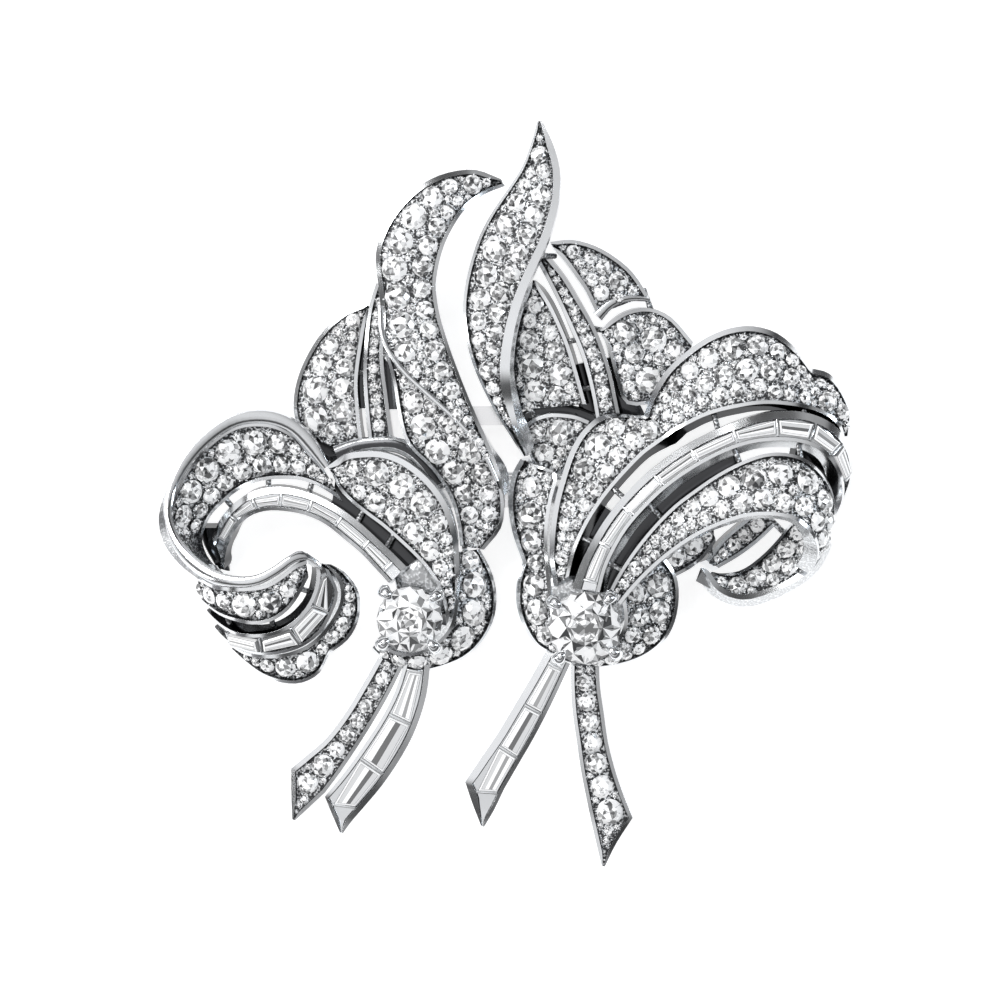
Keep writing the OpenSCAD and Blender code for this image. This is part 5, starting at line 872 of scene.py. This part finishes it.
# %% Seats and claws
# Each large stone: its place on the chart, its diameter and the turn of its claws in degrees.
MAIN_STONES = {"left": (41.0, 61.9, 9.9, 6.2, 42), "right": (58.4, 62.7, 10.2, 6.8, 50)}
SEAT_TOP, SEAT_LOW, SEAT_WALL, SEAT_GAP, SEAT_STEPS, PAVILION = 0.5, 2.1, 0.4, 0.14, 36, 0.43
CLAWS, CLAW_STEPS, CLAW_BEND, CLAW_SIDES = 4, 12, math.radians(150), 14
CLAW_FOOT, CLAW_KNEE, CLAW_OUT = (-1.1, 0.44), (-0.3, 0.48), 0.5
CLAW_THICK, CLAW_TIP, CLAW_TAPER, CLAW_FLAT, CLAW_WIDE = 0.6, 0.12, 0.9, 0.85, 1.1
CLAW_LEAN, CLAW_RISE, CLAW_AXIS = 0.64, 0.68, (-0.08, 0.2)


def connected(first):
    """All faces that hang together with the first ones, those included."""
    found, seen, queue = [], set(first), list(first)
    while queue:
        face = queue.pop()
        found.append(face)
        for edge in face.edges:
            for other in edge.link_faces:
                if other not in seen:
                    seen.add(other)
                    queue.append(other)
    return found


def claw_path(r, foot):
    """The middle line of a claw from its foot: out from the stone's axis, up, and how thick."""
    path = [(foot + CLAW_OUT, *CLAW_FOOT), (r + CLAW_OUT, *CLAW_KNEE)]
    for step in range(CLAW_STEPS + 1):
        bend = CLAW_BEND * step / CLAW_STEPS
        thick = CLAW_THICK * max(CLAW_TIP, 1 - CLAW_TAPER * (step / CLAW_STEPS) ** 2)
        out, high = r + CLAW_AXIS[0] + CLAW_LEAN * math.cos(bend), CLAW_AXIS[1] + CLAW_RISE * math.sin(bend)
        path.append((out, high, thick))
    return path


def add_seat(bm, side):
    """The cone under a large stone, spun from its wall's outline, and its claws."""
    *spot, across, turn = MAIN_STONES[side]
    centre, r = chart(side, *spot), across / 2

    def wall(depth):
        return r * (1 - depth / (PAVILION * across)) + SEAT_GAP

    points = [(wall(SEAT_TOP), -SEAT_TOP), (wall(SEAT_LOW), -SEAT_LOW)]
    points += [(wall(SEAT_LOW) + SEAT_WALL, -SEAT_LOW), (wall(SEAT_TOP) + SEAT_WALL, -SEAT_TOP)]
    verts = [bm.verts.new(centre + Vector((a, 0, h))) for a, h in points]
    edges = [bm.edges.new((verts[k], verts[k - 1])) for k in range(4)]
    bmesh.ops.spin(
        bm, geom=verts + edges, cent=centre, axis=(0, 0, 1), angle=math.tau, steps=SEAT_STEPS, use_merge=True
    )
    shell = connected({face for vertex in verts for face in vertex.link_faces})
    bmesh.ops.recalc_face_normals(bm, faces=shell)
    path = claw_path(r, wall(-CLAW_FOOT[0]))
    for k in range(CLAWS):
        way = Matrix.Rotation(math.radians(turn + 90 * k), 3, "Z")
        sections = []
        for i, (out, high, thick) in enumerate(path):
            before, after = path[max(0, i - 1)], path[min(len(path) - 1, i + 1)]
            along = Vector((after[0] - before[0], 0, after[1] - before[1])).normalized()
            normal = along.cross(Vector((0, 1, 0)))
            angles = (math.tau * n / CLAW_SIDES for n in range(CLAW_SIDES))
            sections.append([
                centre + way @ (
                    Vector((out, 0, high)) + normal * (CLAW_FLAT * thick * math.cos(t))
                    + Vector((0, thick * CLAW_WIDE * math.sin(t), 0))
                )
                for t in angles
            ])
        for face in sweep(bm, sections, [0] * CLAW_SIDES):
            face.tag = True


# %% Legs and tongues
LANDINGS = {
    "left": ((42.0, 39.8, 6.7), (41.2, 51.0, 7.3)),
    "right": ((60.4, 39.8, 4.4), (58.8, 50.6, 6.6)),
}
FITTING_Y, FOOT_REACH, FOOT_SPREAD = 3.6, {"left": -7.6, "right": 7.6}, 3.9
LEG, LEG_FOOT, TONGUE, TONGUE_LOW, LEG_RECESS = (1.3, 1.3), 1.7, (1.6, 0.9), 0.6, 0.3


def add_legs(bm, side):
    """Two square legs from the ribbons down to their tongues."""
    for landing, spread in zip(LANDINGS[side], (FOOT_SPREAD, -FOOT_SPREAD)):
        x, y = MEET_LINE + FOOT_REACH[side], FITTING_Y + spread
        stops = [(chart(side, *landing), LEG)]
        knee = LEG_FOOT + LEG[0] / 2
        for z, size in ((knee, LEG), (LEG_FOOT, LEG), (LEG_FOOT, TONGUE), (TONGUE_LOW, TONGUE)):
            stops.append((Vector((x, y, z)), size))
        corners = ((-0.5, -0.5), (0.5, -0.5), (0.5, 0.5), (-0.5, 0.5))
        sections = [[c + Vector((a * w, b * h, 0)) for a, b in corners] for c, (w, h) in stops]
        sweep(bm, sections, [LEG_RECESS] * 4)


# %% [markdown]
# ## Rows of baguettes
# A row of baguettes is held between two rails, and a thin partition stands between each stone and the next.
# The partitions are soldered to the floor, so they belong to the clip's metal.

# %% Partitions
# Each row: its name, its ribbon, where it starts and ends in rows of the ribbon's table, and how many stones.
BAR_ROWS = {
    "left": (
        ("scroll", "scroll_bars", 0.7, 10.9, 7), ("curl", "curl_bars", 2.3, 9.4, 4),
        ("tail", "tail_bars", 0.25, 5.2, 3),
    ),
    "right": (("scroll", "scroll_mid", 0.4, 15.4, 9), ("tail", "tail_bars_right", 0.3, 5.3, 3)),
}
PARTITION, PARTITION_HIGH, PARTITION_LIFT, PARTITION_SOLDER = 0.2, 0.8, 0.15, 0.1
PARTITION_BEVEL, CROWN_LEAN, HALVINGS = 0.05, 6, 14


def floor_spot(ribbon, u, share):
    """Place on the floor at a share of the way across, with directions up and along, and the floor's width."""
    first, across, up, width, along = section_at(ribbon, u)
    start, wide, deep, rise = floor_of(ribbon, u, width)
    lean = max(-1, min(1, (0.5 - share) * CROWN_LEAN)) * 2 * rise / wide
    place = first + across * (start + share * wide) + up * (rise * (1 - abs(1 - 2 * share)) - deep)
    return place, (up - across * lean).normalized(), along, wide


def square_spot(ribbon, u, share):
    """The spot of a floor line that lies square across the ribbon from its middle at u."""
    place, up, along, wide = floor_spot(ribbon, u, 0.5)
    low, high = max(0, u - 1), min(ribbon["last"], u + 1)
    for step in range(HALVINGS):
        middle = (low + high) / 2
        if (floor_spot(ribbon, middle, share)[0] - place).dot(along) < 0:
            low = middle
        else:
            high = middle
    return floor_spot(ribbon, middle, share)[0]


def add_partitions(bm, side):
    """A thin wall across the floor at each joint of a row of baguettes."""
    count = 0
    for name, ribbon_name, low, high, stones in BAR_ROWS[side]:
        ribbon = CLIPS[side][ribbon_name]
        for i in range(stones + 1):
            u = low + (high - low) * i / stones
            near, far = square_spot(ribbon, u, 0), square_spot(ribbon, u, 1)
            place, across = (near + far) / 2, (far - near).normalized()
            along = across.cross(floor_spot(ribbon, u, 0.5)[1]).normalized()
            up = across.cross(-along).normalized()
            turn = Matrix((across, up.cross(across), up)).transposed().to_4x4()
            size = Matrix.Diagonal(((far - near).length + PARTITION_SOLDER, PARTITION, PARTITION_HIGH, 1))
            centre = Matrix.Translation(place + up * PARTITION_LIFT)
            cube = bmesh.ops.create_cube(bm, size=1, matrix=centre @ turn @ size)
            top = [
                edge for edge in {edge for vertex in cube["verts"] for edge in vertex.link_edges}
                if all((v.co - place).dot(up) > PARTITION_HIGH / 2 for v in edge.verts)
            ]
            bmesh.ops.bevel(
                bm, geom=top, offset=PARTITION_BEVEL, segments=2, affect="EDGES", profile=0.5, material=-1
            )
            count += 1
    return count


# %% Both clips
SHARP, BROKEN_EDGE = math.radians(35), 0.05 * MM


def finish_piece(bm, name, materials, nodes=(), bevel=0.0):
    """Turns millimetres into metres, makes the object, hangs it on the root body, and hides the imported nodes it
    stands for.
    """
    bmesh.ops.scale(bm, vec=(MM, MM, MM), verts=bm.verts)
    piece = put_in_scene(name, as_mesh(bm, name))
    for material in materials:
        piece.data.materials.append(material)
    if bevel:
        soft = piece.modifiers.new("broken_edges", "BEVEL")
        soft.width, soft.segments, soft.limit_method, soft.angle_limit = bevel, 2, "ANGLE", SHARP
        soft.harden_normals = True
    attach(piece, "root")
    if nodes:
        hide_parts(*nodes)


def clip_metal(side, bridges):
    """All the soldered metal of one clip."""
    bm = bmesh.new()
    bm.faces.layers.float.new("recess")
    for ribbon in CLIPS[side].values():
        add_ribbon(bm, ribbon)
    add_ties(bm, side, bridges)
    add_seat(bm, side)
    add_legs(bm, side)
    walls = add_partitions(bm, side)
    for face in bm.faces:
        face.smooth = True
    for edge in bm.edges:
        round_claw = all(face.tag for face in edge.link_faces)
        edge.smooth = round_claw or len(edge.link_faces) < 2 or edge.calc_face_angle(0) < SHARP
    print(side, "clip:", len(bm.faces), "faces,", walls, "partitions")
    return bm


METAL = {"left": clip_metal("left", LEFT_BRIDGES), "right": clip_metal("right", RIGHT_BRIDGES)}
metal_trees = {side: BVHTree.FromBMesh(bm) for side, bm in METAL.items()}
for side, bm in METAL.items():
    finish_piece(bm, f"{side}_clip_metal", [platinum], [f"{side}_clip_frame"], bevel=BROKEN_EDGE)
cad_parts["brooch_fitting"].material_slots[0].material = fitting_metal

# %% [markdown]
# ## How a round stone is cut
# An old round cut has an eight-sided table, eight stars, eight kites and sixteen upper facets above the girdle.
# Three rings of points and the tip of the pavilion are enough: their convex hull is exactly that solid, and
# merging the triangles that lie in one plane gives the kites. The table is divided in eight, as the pavilion's
# facets show through it.

# %% Model of a round stone
# Rings of the stone of radius 1, from the table to the girdle: points, radius, height, turn in degrees.
ROUND_RINGS = ((8, 0.56, 0.42, 22.5), (8, 0.8, 0.249, 0), (16, 1, 0, 0))
CULET, TABLE_DOME = (0, 0, -0.55), 0.05


def round_stone():
    """A round stone of radius 1 whose girdle lies at height 0."""
    bm = bmesh.new()
    for segments, radius, high, turn in ROUND_RINGS:
        place = Matrix.Translation((0, 0, high)) @ Matrix.Rotation(math.radians(turn), 4, "Z")
        bmesh.ops.create_circle(bm, cap_ends=False, segments=segments, radius=radius, matrix=place)
    bm.verts.new(CULET)
    bmesh.ops.convex_hull(bm, input=bm.verts)
    bmesh.ops.delete(bm, geom=[e for e in bm.edges if not e.link_faces], context="EDGES")
    bmesh.ops.dissolve_limit(bm, angle_limit=math.radians(1.5), verts=bm.verts, edges=bm.edges)
    table = max(bm.faces, key=lambda f: f.calc_center_median().z)
    bmesh.ops.poke(bm, faces=[table], offset=TABLE_DOME)
    bmesh.ops.recalc_face_normals(bm, faces=bm.faces)
    print("round stone:", len(bm.faces), "facets")
    return as_mesh(bm, "round_stone")


def bead():
    """A bead of metal, radius 1."""
    bm = bmesh.new()
    bmesh.ops.create_icosphere(bm, subdivisions=1, radius=1)
    for face in bm.faces:
        face.smooth = True
    return as_mesh(bm, "bead")


ROUND_STONE, BEAD = round_stone(), bead()


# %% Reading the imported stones
def merged_solids(node):
    """A node's solids in millimetres, with the triangles of each facet merged."""
    bm = bmesh.new()
    bm.from_mesh(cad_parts[node].data)
    bmesh.ops.scale(bm, vec=(1 / MM,) * 3, verts=bm.verts)
    bmesh.ops.remove_doubles(bm, verts=bm.verts, dist=0.001)
    bmesh.ops.dissolve_limit(bm, angle_limit=math.radians(0.5), verts=bm.verts, edges=bm.edges)
    return bm


def packed_stones(node):
    """Place of the girdle's centre, direction up and radius of each round stone of a node."""
    bm, stones, seen = merged_solids(node), [], set()
    for start in bm.faces:
        if start in seen:
            continue
        facets = connected([start])
        seen.update(facets)
        girdle, table = sorted(facets, key=lambda f: f.calc_area())[-1:-3:-1]
        place, top = girdle.calc_center_median(), table.calc_center_median()
        radius = max((v.co - place).length for v in girdle.verts)
        stones.append((place, (top - place).normalized(), radius))
    bm.free()
    return stones


FIELDS = {
    "left": {
        "plume": ("plume",), "feather": ("feather",), "fan": ("fan_outer", "fan_strip"),
        "scroll": ("scroll_pave",), "shell": ("shell",), "curl": ("curl_top", "curl_edge"),
        "lobe": ("lobe",), "tail": ("tail_pave",),
    },
    "right": {
        "leaf": ("leaf",), "fan": ("fan_top", "fan_side"), "inner": ("fan_inner", "fan_foot"),
        "scroll": ("scroll_crest",), "low_scroll": ("scroll_low",), "column": ("column",),
        "lobe": ("lobe_right",), "tail": ("tail_pave_right",),
        "small": ("fan_rib", "curl_inner", "curl_outer", "lobe_behind"),
    },
}
PACKED = {
    side: {field: packed_stones(f"{side}_{field}_stones") for field in fields if field != "small"}
    for side, fields in FIELDS.items()
}
print("packed round stones:", sum(len(s) for fields in PACKED.values() for s in fields.values()))

# %% [markdown]
# ## Packed stones between the rims
# A packed stone keeps its place, but is cut smaller where its ribbon's rims leave less room. The two lines
# where a floor meets its rims tell how much room there is, and keep the small stones off the rims too.

# %% Room between the rims
RAIL_STEPS, LEAST_SHARE = 24, 0.6


def rails_of(ribbon):
    """The two lines where a ribbon's floor meets its rims."""
    count = RAIL_STEPS * ribbon["last"] + 1
    rails = KDTree(2 * count)
    for k in range(count):
        for share in (0, 1):
            rails.insert(floor_spot(ribbon, k / RAIL_STEPS, share)[0], 2 * k + share)
    rails.balance()
    return rails


RAILS = {
    side: {name: rails_of(ribbon) for name, ribbon in ribbons.items() if ribbon["rims"]}
    for side, ribbons in CLIPS.items()
}


def fit_inside(side, names, stones):
    """Packed stones, made smaller where the rims of their own ribbon leave less room."""
    fitted = []
    for place, up, radius in stones:
        room = min(RAILS[side][name].find(place)[2] for name in names)
        fitted.append((place, up, min(radius, max(room, LEAST_SHARE * radius))))
    return fitted


# %% [markdown]
# ## Filling the floors
# A setter fits the large stones first and then closes every gap with smaller ones. The script does the same:
# it walks over each floor in small steps, from the largest size to the smallest, and keeps a spot where the
# stone lies inside the rims, clear of its neighbours, and with no other metal over or through it. Rays into
# the metal's own mesh tell what lies over a spot.

# %% Spots for small stones
SIZES = (0.95, 0.82, 0.7, 0.6, 0.5, 0.42, 0.34, 0.27)
# A ribbon in BARE_FROM carries stones up to that row of its table only.
BARE_FROM = {"scroll_pave": 10.6}
GIRDLE_LIFT, LANES, WALK_STEP, TRY_STEP, END_SKIP = 0.1, 16, 0.09, 0.05, 0.04
RIM_ROOM, STONE_ROOM, END_ROOM, END_REACH, COVERED = 0.02, 0.03, 0.15, 2.5, 0.3
GIRDLE_RAY, GIRDLE_SHARE, COVER_RAY, COVER_SHARE, COVER_REACH = 0.22, 0.93, 0.3, 0.75, 1.6


def is_open(tree, place, up, along, radius):
    """True if no metal lies over the spot or cuts through the stone."""
    side = up.cross(along).normalized()
    for k in range(6):
        out = along * math.cos(k * math.pi / 3) + side * math.sin(k * math.pi / 3)
        if tree.ray_cast(place + up * GIRDLE_RAY, out, radius * GIRDLE_SHARE)[0]:
            return False
        if tree.ray_cast(place + out * radius * COVER_SHARE + up * COVER_RAY, up, COVER_REACH)[0]:
            return False
    return True


def is_under_main_stone(side, place, radius):
    """True for a spot that a large stone or its seat hides."""
    *spot, across, turn = MAIN_STONES[side]
    return (place - chart(side, *spot)).xy.length < across / 2 + COVERED * radius


def is_at_end(place, radius, ends):
    """True for a spot too near to one of a floor's ends."""
    return any(
        (place - end[0]).length < END_REACH and (place - end[0]).dot(end[2]) * way < radius + END_ROOM
        for end, way in ends
    )


def walk_floor(ribbon, last):
    """Rows of spots all over a floor, a short step apart."""
    rows, u = [], END_SKIP
    while u < last - END_SKIP:
        rows.append([floor_spot(ribbon, u, share / LANES) for share in range(1, LANES)])
        middle = rows[-1][LANES // 2 - 1][0]
        ahead = floor_spot(ribbon, min(last, u + TRY_STEP), 0.5)[0]
        u += TRY_STEP * WALK_STEP / max(0.01, (ahead - middle).length)
    return rows


def fill_floor(side, ribbon, stones):
    """Small stones for the free spots of a ribbon's floor, from large to small."""
    last, made = BARE_FROM.get(ribbon["name"], ribbon["last"]), []
    rows, rails = walk_floor(ribbon, last), RAILS[side][ribbon["name"]]
    ends = [(floor_spot(ribbon, 0, 0.5), 1), (floor_spot(ribbon, last, 0.5), -1)]
    taken = [(place, radius) for place, up, radius in stones]
    for radius in SIZES:
        for row in rows:
            if row[0][3] < 2 * (radius + RIM_ROOM):
                continue
            for place, up, along, wide in row:
                seat = place + up * GIRDLE_LIFT
                if (
                    rails.find(place)[2] < radius + RIM_ROOM
                    or is_at_end(place, radius, ends)
                    or any((seat - p).length < r + radius + STONE_ROOM for p, r in taken)
                    or is_under_main_stone(side, seat, radius)
                    or not is_open(metal_trees[side], place, up, along, radius)
                ):
                    continue
                taken.append((seat, radius))
                made.append((seat, up, radius))
    return made


# %% [markdown]
# ## Beads
# Each pavé stone is held by three or four beads that the setter raises out of the floor with a graver. The
# script tries spots round each girdle and keeps those that stand on the floor, off the rims and off every
# stone.

# %% Spots for beads
BEAD_RADIUS, BEADS_A_STONE, BEAD_TRIES, LATEST_BEADS = 0.12, 4, 10, 120
BEAD_OUT, BEAD_ROOM, BEAD_SPACING, BEAD_LIFT = 0.07, 0.02, 0.34, 0.1
BEAD_RAY, BEAD_REACH, FLOOR_FROM, FLOOR_TO = 0.7, 1.4, 0.55, 1.1


def bead_spots(side, stones):
    """Places and directions of the beads round a field's stones."""
    beads = []
    for place, up, radius in stones:
        aside = up.orthogonal().normalized()
        phase, found = random.random() * math.tau, 0
        for k in range(BEAD_TRIES):
            out = Matrix.Rotation(phase + k * math.tau / BEAD_TRIES, 3, up) @ aside
            spot = place + out * (radius + BEAD_OUT)
            if any((spot - p).length < r + BEAD_ROOM for p, n, r in stones):
                continue
            if any((spot - p).length < BEAD_SPACING for p, n in beads[-LATEST_BEADS:]):
                continue
            hit, normal, index, depth = metal_trees[side].ray_cast(spot + up * BEAD_RAY, -up, BEAD_REACH)
            if hit and FLOOR_FROM < depth < FLOOR_TO:
                beads.append((hit + up * BEAD_LIFT, up))
                found += 1
            if found == BEADS_A_STONE:
                break
    return beads


# %% One field of stones
def stamp(bm, mesh, matrix):
    """Adds a copy of a small mesh and returns its faces."""
    faces, verts = len(bm.faces), len(bm.verts)
    bm.from_mesh(mesh)
    bm.faces.ensure_lookup_table()
    bm.verts.ensure_lookup_table()
    bmesh.ops.transform(bm, matrix=matrix, verts=bm.verts[verts:])
    return bm.faces[faces:]


def set_upright(place, up, radius):
    """Placement of a stone or bead with a random turn about its own axis."""
    turn = up.to_track_quat("Z", "Y").to_matrix().to_4x4()
    spin = Matrix.Rotation(random.random() * math.tau, 4, "Z")
    return Matrix.Translation(place) @ turn @ spin @ Matrix.Scale(radius, 4)


def sparkle(mood):
    """A facet's patch of light, mostly dark or bright; a stone's mood makes all of it brighter or darker."""
    return max(0, min(1, random.betavariate(0.6, 0.5) + mood))


def pave(name, side, stones, nodes):
    """A field of round stones with its beads, as one piece."""
    bm = bmesh.new()
    facet = bm.faces.layers.float.new("facet")
    bm.faces.layers.float.new("recess")
    beads = bead_spots(side, stones)
    for place, up, radius in stones:
        mood = random.uniform(-0.2, 0.15)
        for face in stamp(bm, ROUND_STONE, set_upright(place, up, radius)):
            face[facet] = sparkle(mood)
    for place, up in beads:
        for face in stamp(bm, BEAD, set_upright(place, up, BEAD_RADIUS * random.uniform(0.85, 1.1))):
            face.material_index = 1
            face.smooth = True
    print(name, len(stones), "stones", len(beads), "beads", len(bm.faces), "faces")
    finish_piece(bm, name, [pave_diamond, platinum], nodes)


total = 0
for side, fields in FIELDS.items():
    fitted = {field: fit_inside(side, fields[field], packed) for field, packed in PACKED[side].items()}
    everything = [stone for packed in fitted.values() for stone in packed]
    for field, ribbon_names in fields.items():
        stones = list(fitted.get(field, []))
        for ribbon_name in ribbon_names:
            new = fill_floor(side, CLIPS[side][ribbon_name], everything)
            stones += new
            everything += new
        total += len(stones)
        pave(f"{side}_{field}_pave", side, stones, [f"{side}_{field}_stones"] if field in fitted else [])
print("round stones in all:", total)

# %% [markdown]
# ## Baguettes
# A baguette is step cut: upright walls, a step, and a long table in which the pavilion's facets show as
# parallel stripes, painted as reflections. Each is cut to its own stretch of the channel, so it starts as one
# face between four spots on the floor, drawn in where the channel bends. The face is extruded to the walls'
# height and inset once for each step, and hairline insets between them carry the fine dark lines of painted
# reflection that set a step cut off from a round one.

# %% Blank of a baguette
BAR_GAP, BAR_WALL, BAR_LIFT, BAR_END = 0.05, 0.42, 0.02, 0.03
# Insets of a bar, each its width, its rise and its patch of light, and patterns of stripes on the table.
STEPS = ((0.035, 0.015, 0.15), (0.15, 0.13, 0.9), (0.035, 0.01, 0.3))
STRIPES = ((0.95, 0.15, 0.6), (0.5, 1.0, 0.3, 0.7), (1.0, 0.3, 0.6), (0.6, 1.0, 0.1, 0.5))
WALL_PATCHES, STEP_SHARE, STEP_SHADES, TABLE_SKIN = (0.3, 0.5, 0.7), 0.3, (0.75, 1), 0.004


def bar_blank(bm, ribbon, start, pitch):
    """The face under a bar between its corners on the floor, and the directions up, along and across."""
    place, up, along, wide = floor_spot(ribbon, start + pitch / 2, 0.5)
    along = (along - up * along.dot(up)).normalized()
    across = up.cross(along)
    grid = {
        (a, share): square_spot(ribbon, start + a * pitch / 4, share) for a in range(5) for share in (0, 0.5, 1)
    }
    lift = max(0, max((spot - place).dot(up) for spot in grid.values())) + BAR_LIFT
    gap = along * (PARTITION / 2 + BAR_END)
    corners = []
    for share in (0, 1):
        near, far = grid[0, share], grid[4, share]
        inward = across * math.copysign(1, (place - (near + far) / 2).dot(across))
        bulge = max((grid[a, share] - near.lerp(far, a / 4)).dot(inward) for a in range(5)) + BAR_GAP
        ends = [near + inward * bulge + gap, far + inward * bulge - gap]
        corners += ends if share == 0 else ends[::-1]
    arms = [c - place for c in corners]
    flat = [place + along * arm.dot(along) + across * arm.dot(across) + up * lift for arm in arms]
    face = bm.faces.new([bm.verts.new(c) for c in flat])
    face.normal_update()
    if face.normal.dot(up) < 0:
        face.normal_flip()
    return face, up, along, across


def in_order(faces, way):
    """Faces sorted along a direction, so that each run deals them the same patches of light."""
    return sorted(faces, key=lambda f: f.calc_center_median().dot(way))


# %% Step-cut bars
def baguette(name, ribbon, start, pitch, node):
    """A baguette with one step, hairlines and a striped table."""
    bm = bmesh.new()
    facet = bm.faces.layers.float.new("facet")
    base, up, along, across = bar_blank(bm, ribbon, start, pitch)
    skew = along + 0.1 * across + 0.01 * up
    made = bmesh.ops.extrude_face_region(bm, geom=[base])["geom"]
    top = next(f for f in made if isinstance(f, bmesh.types.BMFace))
    bmesh.ops.translate(bm, vec=up * BAR_WALL, verts=top.verts)
    for face in in_order(bm.faces, skew):
        face[facet] = random.choice(WALL_PATCHES)
    half = min(e.calc_length() for e in top.edges) / 2
    for thickness, rise, shade in STEPS:
        rim = bmesh.ops.inset_individual(
            bm, faces=[top], thickness=min(thickness, STEP_SHARE * half), depth=rise, use_even_offset=True
        )["faces"]
        for face in in_order(rim, skew):
            face[facet] = shade * random.uniform(*STEP_SHADES)
    stripes = random.choice(STRIPES)
    sides = sorted(top.edges, key=lambda e: e.calc_length())[:2]
    level = max(v.co.dot(up) for v in top.verts) - TABLE_SKIN
    bmesh.ops.subdivide_edges(bm, edges=sides, cuts=len(stripes) - 1, use_grid_fill=True)
    strips = [f for f in bm.faces if all(v.co.dot(up) > level for v in f.verts)]
    for face, shade in zip(in_order(strips, across), stripes):
        face[facet] = shade
    bmesh.ops.recalc_face_normals(bm, faces=bm.faces)
    finish_piece(bm, name, [baguette_diamond], [node])


for side, rows in BAR_ROWS.items():
    for name, ribbon_name, low, high, count in rows:
        pitch = (high - low) / count
        for i in range(count):
            node = f"{side}_{name}_bar_{i + 1}"
            baguette(f"{side}_{name}_baguette_{i + 1}", CLIPS[side][ribbon_name], low + i * pitch, pitch, node)
print("baguettes:", sum(row[-1] for rows in BAR_ROWS.values() for row in rows))

# %% [markdown]
# ## The two large stones
# They are old round cuts with a small table and an open culet. The imported solids carry every facet, so a merged
# copy of each is dressed with its patches. Its table is divided to show the pavilion's star, and every facet of
# the crown is split too. Facets near the girdle get a flat grey, a painted dark reflection that draws the stone's
# edge against the white card.

# %% Large old-cut stones
TABLE_RINGS, CROWN_SLOPE = (0.35, 0.5), 0.2
# Shift of the painted facet light in the crown and in the heart, which is darker, and how far out the heart
# reaches as a share of the radius.
MAIN_MOODS = {"left": (0.06, -0.12, 0.5), "right": (0.04, -0.45, 0.66)}
GIRDLE_FROM, GIRDLE_GREY = 0.93, 0.3


def large_stone(side):
    """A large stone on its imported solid."""
    node = f"{side}_main_stone"
    bm = merged_solids(node)
    facet = bm.faces.layers.float.new("facet")
    table = max((f for f in bm.faces if f.normal.z > 0.999), key=lambda f: f.calc_area())
    for thickness in TABLE_RINGS:
        bmesh.ops.inset_individual(bm, faces=[table], thickness=thickness, use_even_offset=True)
    star = bmesh.ops.poke(bm, faces=[table])["faces"]
    bmesh.ops.poke(bm, faces=[f for f in bm.faces if f.normal.z > CROWN_SLOPE and f not in star])
    crown, heart, heart_size = MAIN_MOODS[side]
    *spot, across, turn = MAIN_STONES[side]
    for face in bm.faces:
        out = (face.calc_center_median() - chart(side, *spot)).xy.length / (across / 2)
        face[facet] = sparkle(crown if out > heart_size else heart) if out < GIRDLE_FROM else GIRDLE_GREY
    print(node, len(bm.faces), "facets")
    finish_piece(bm, f"{side}_main_diamond", [main_diamond], [node])


for side in MAIN_STONES:
    large_stone(side)
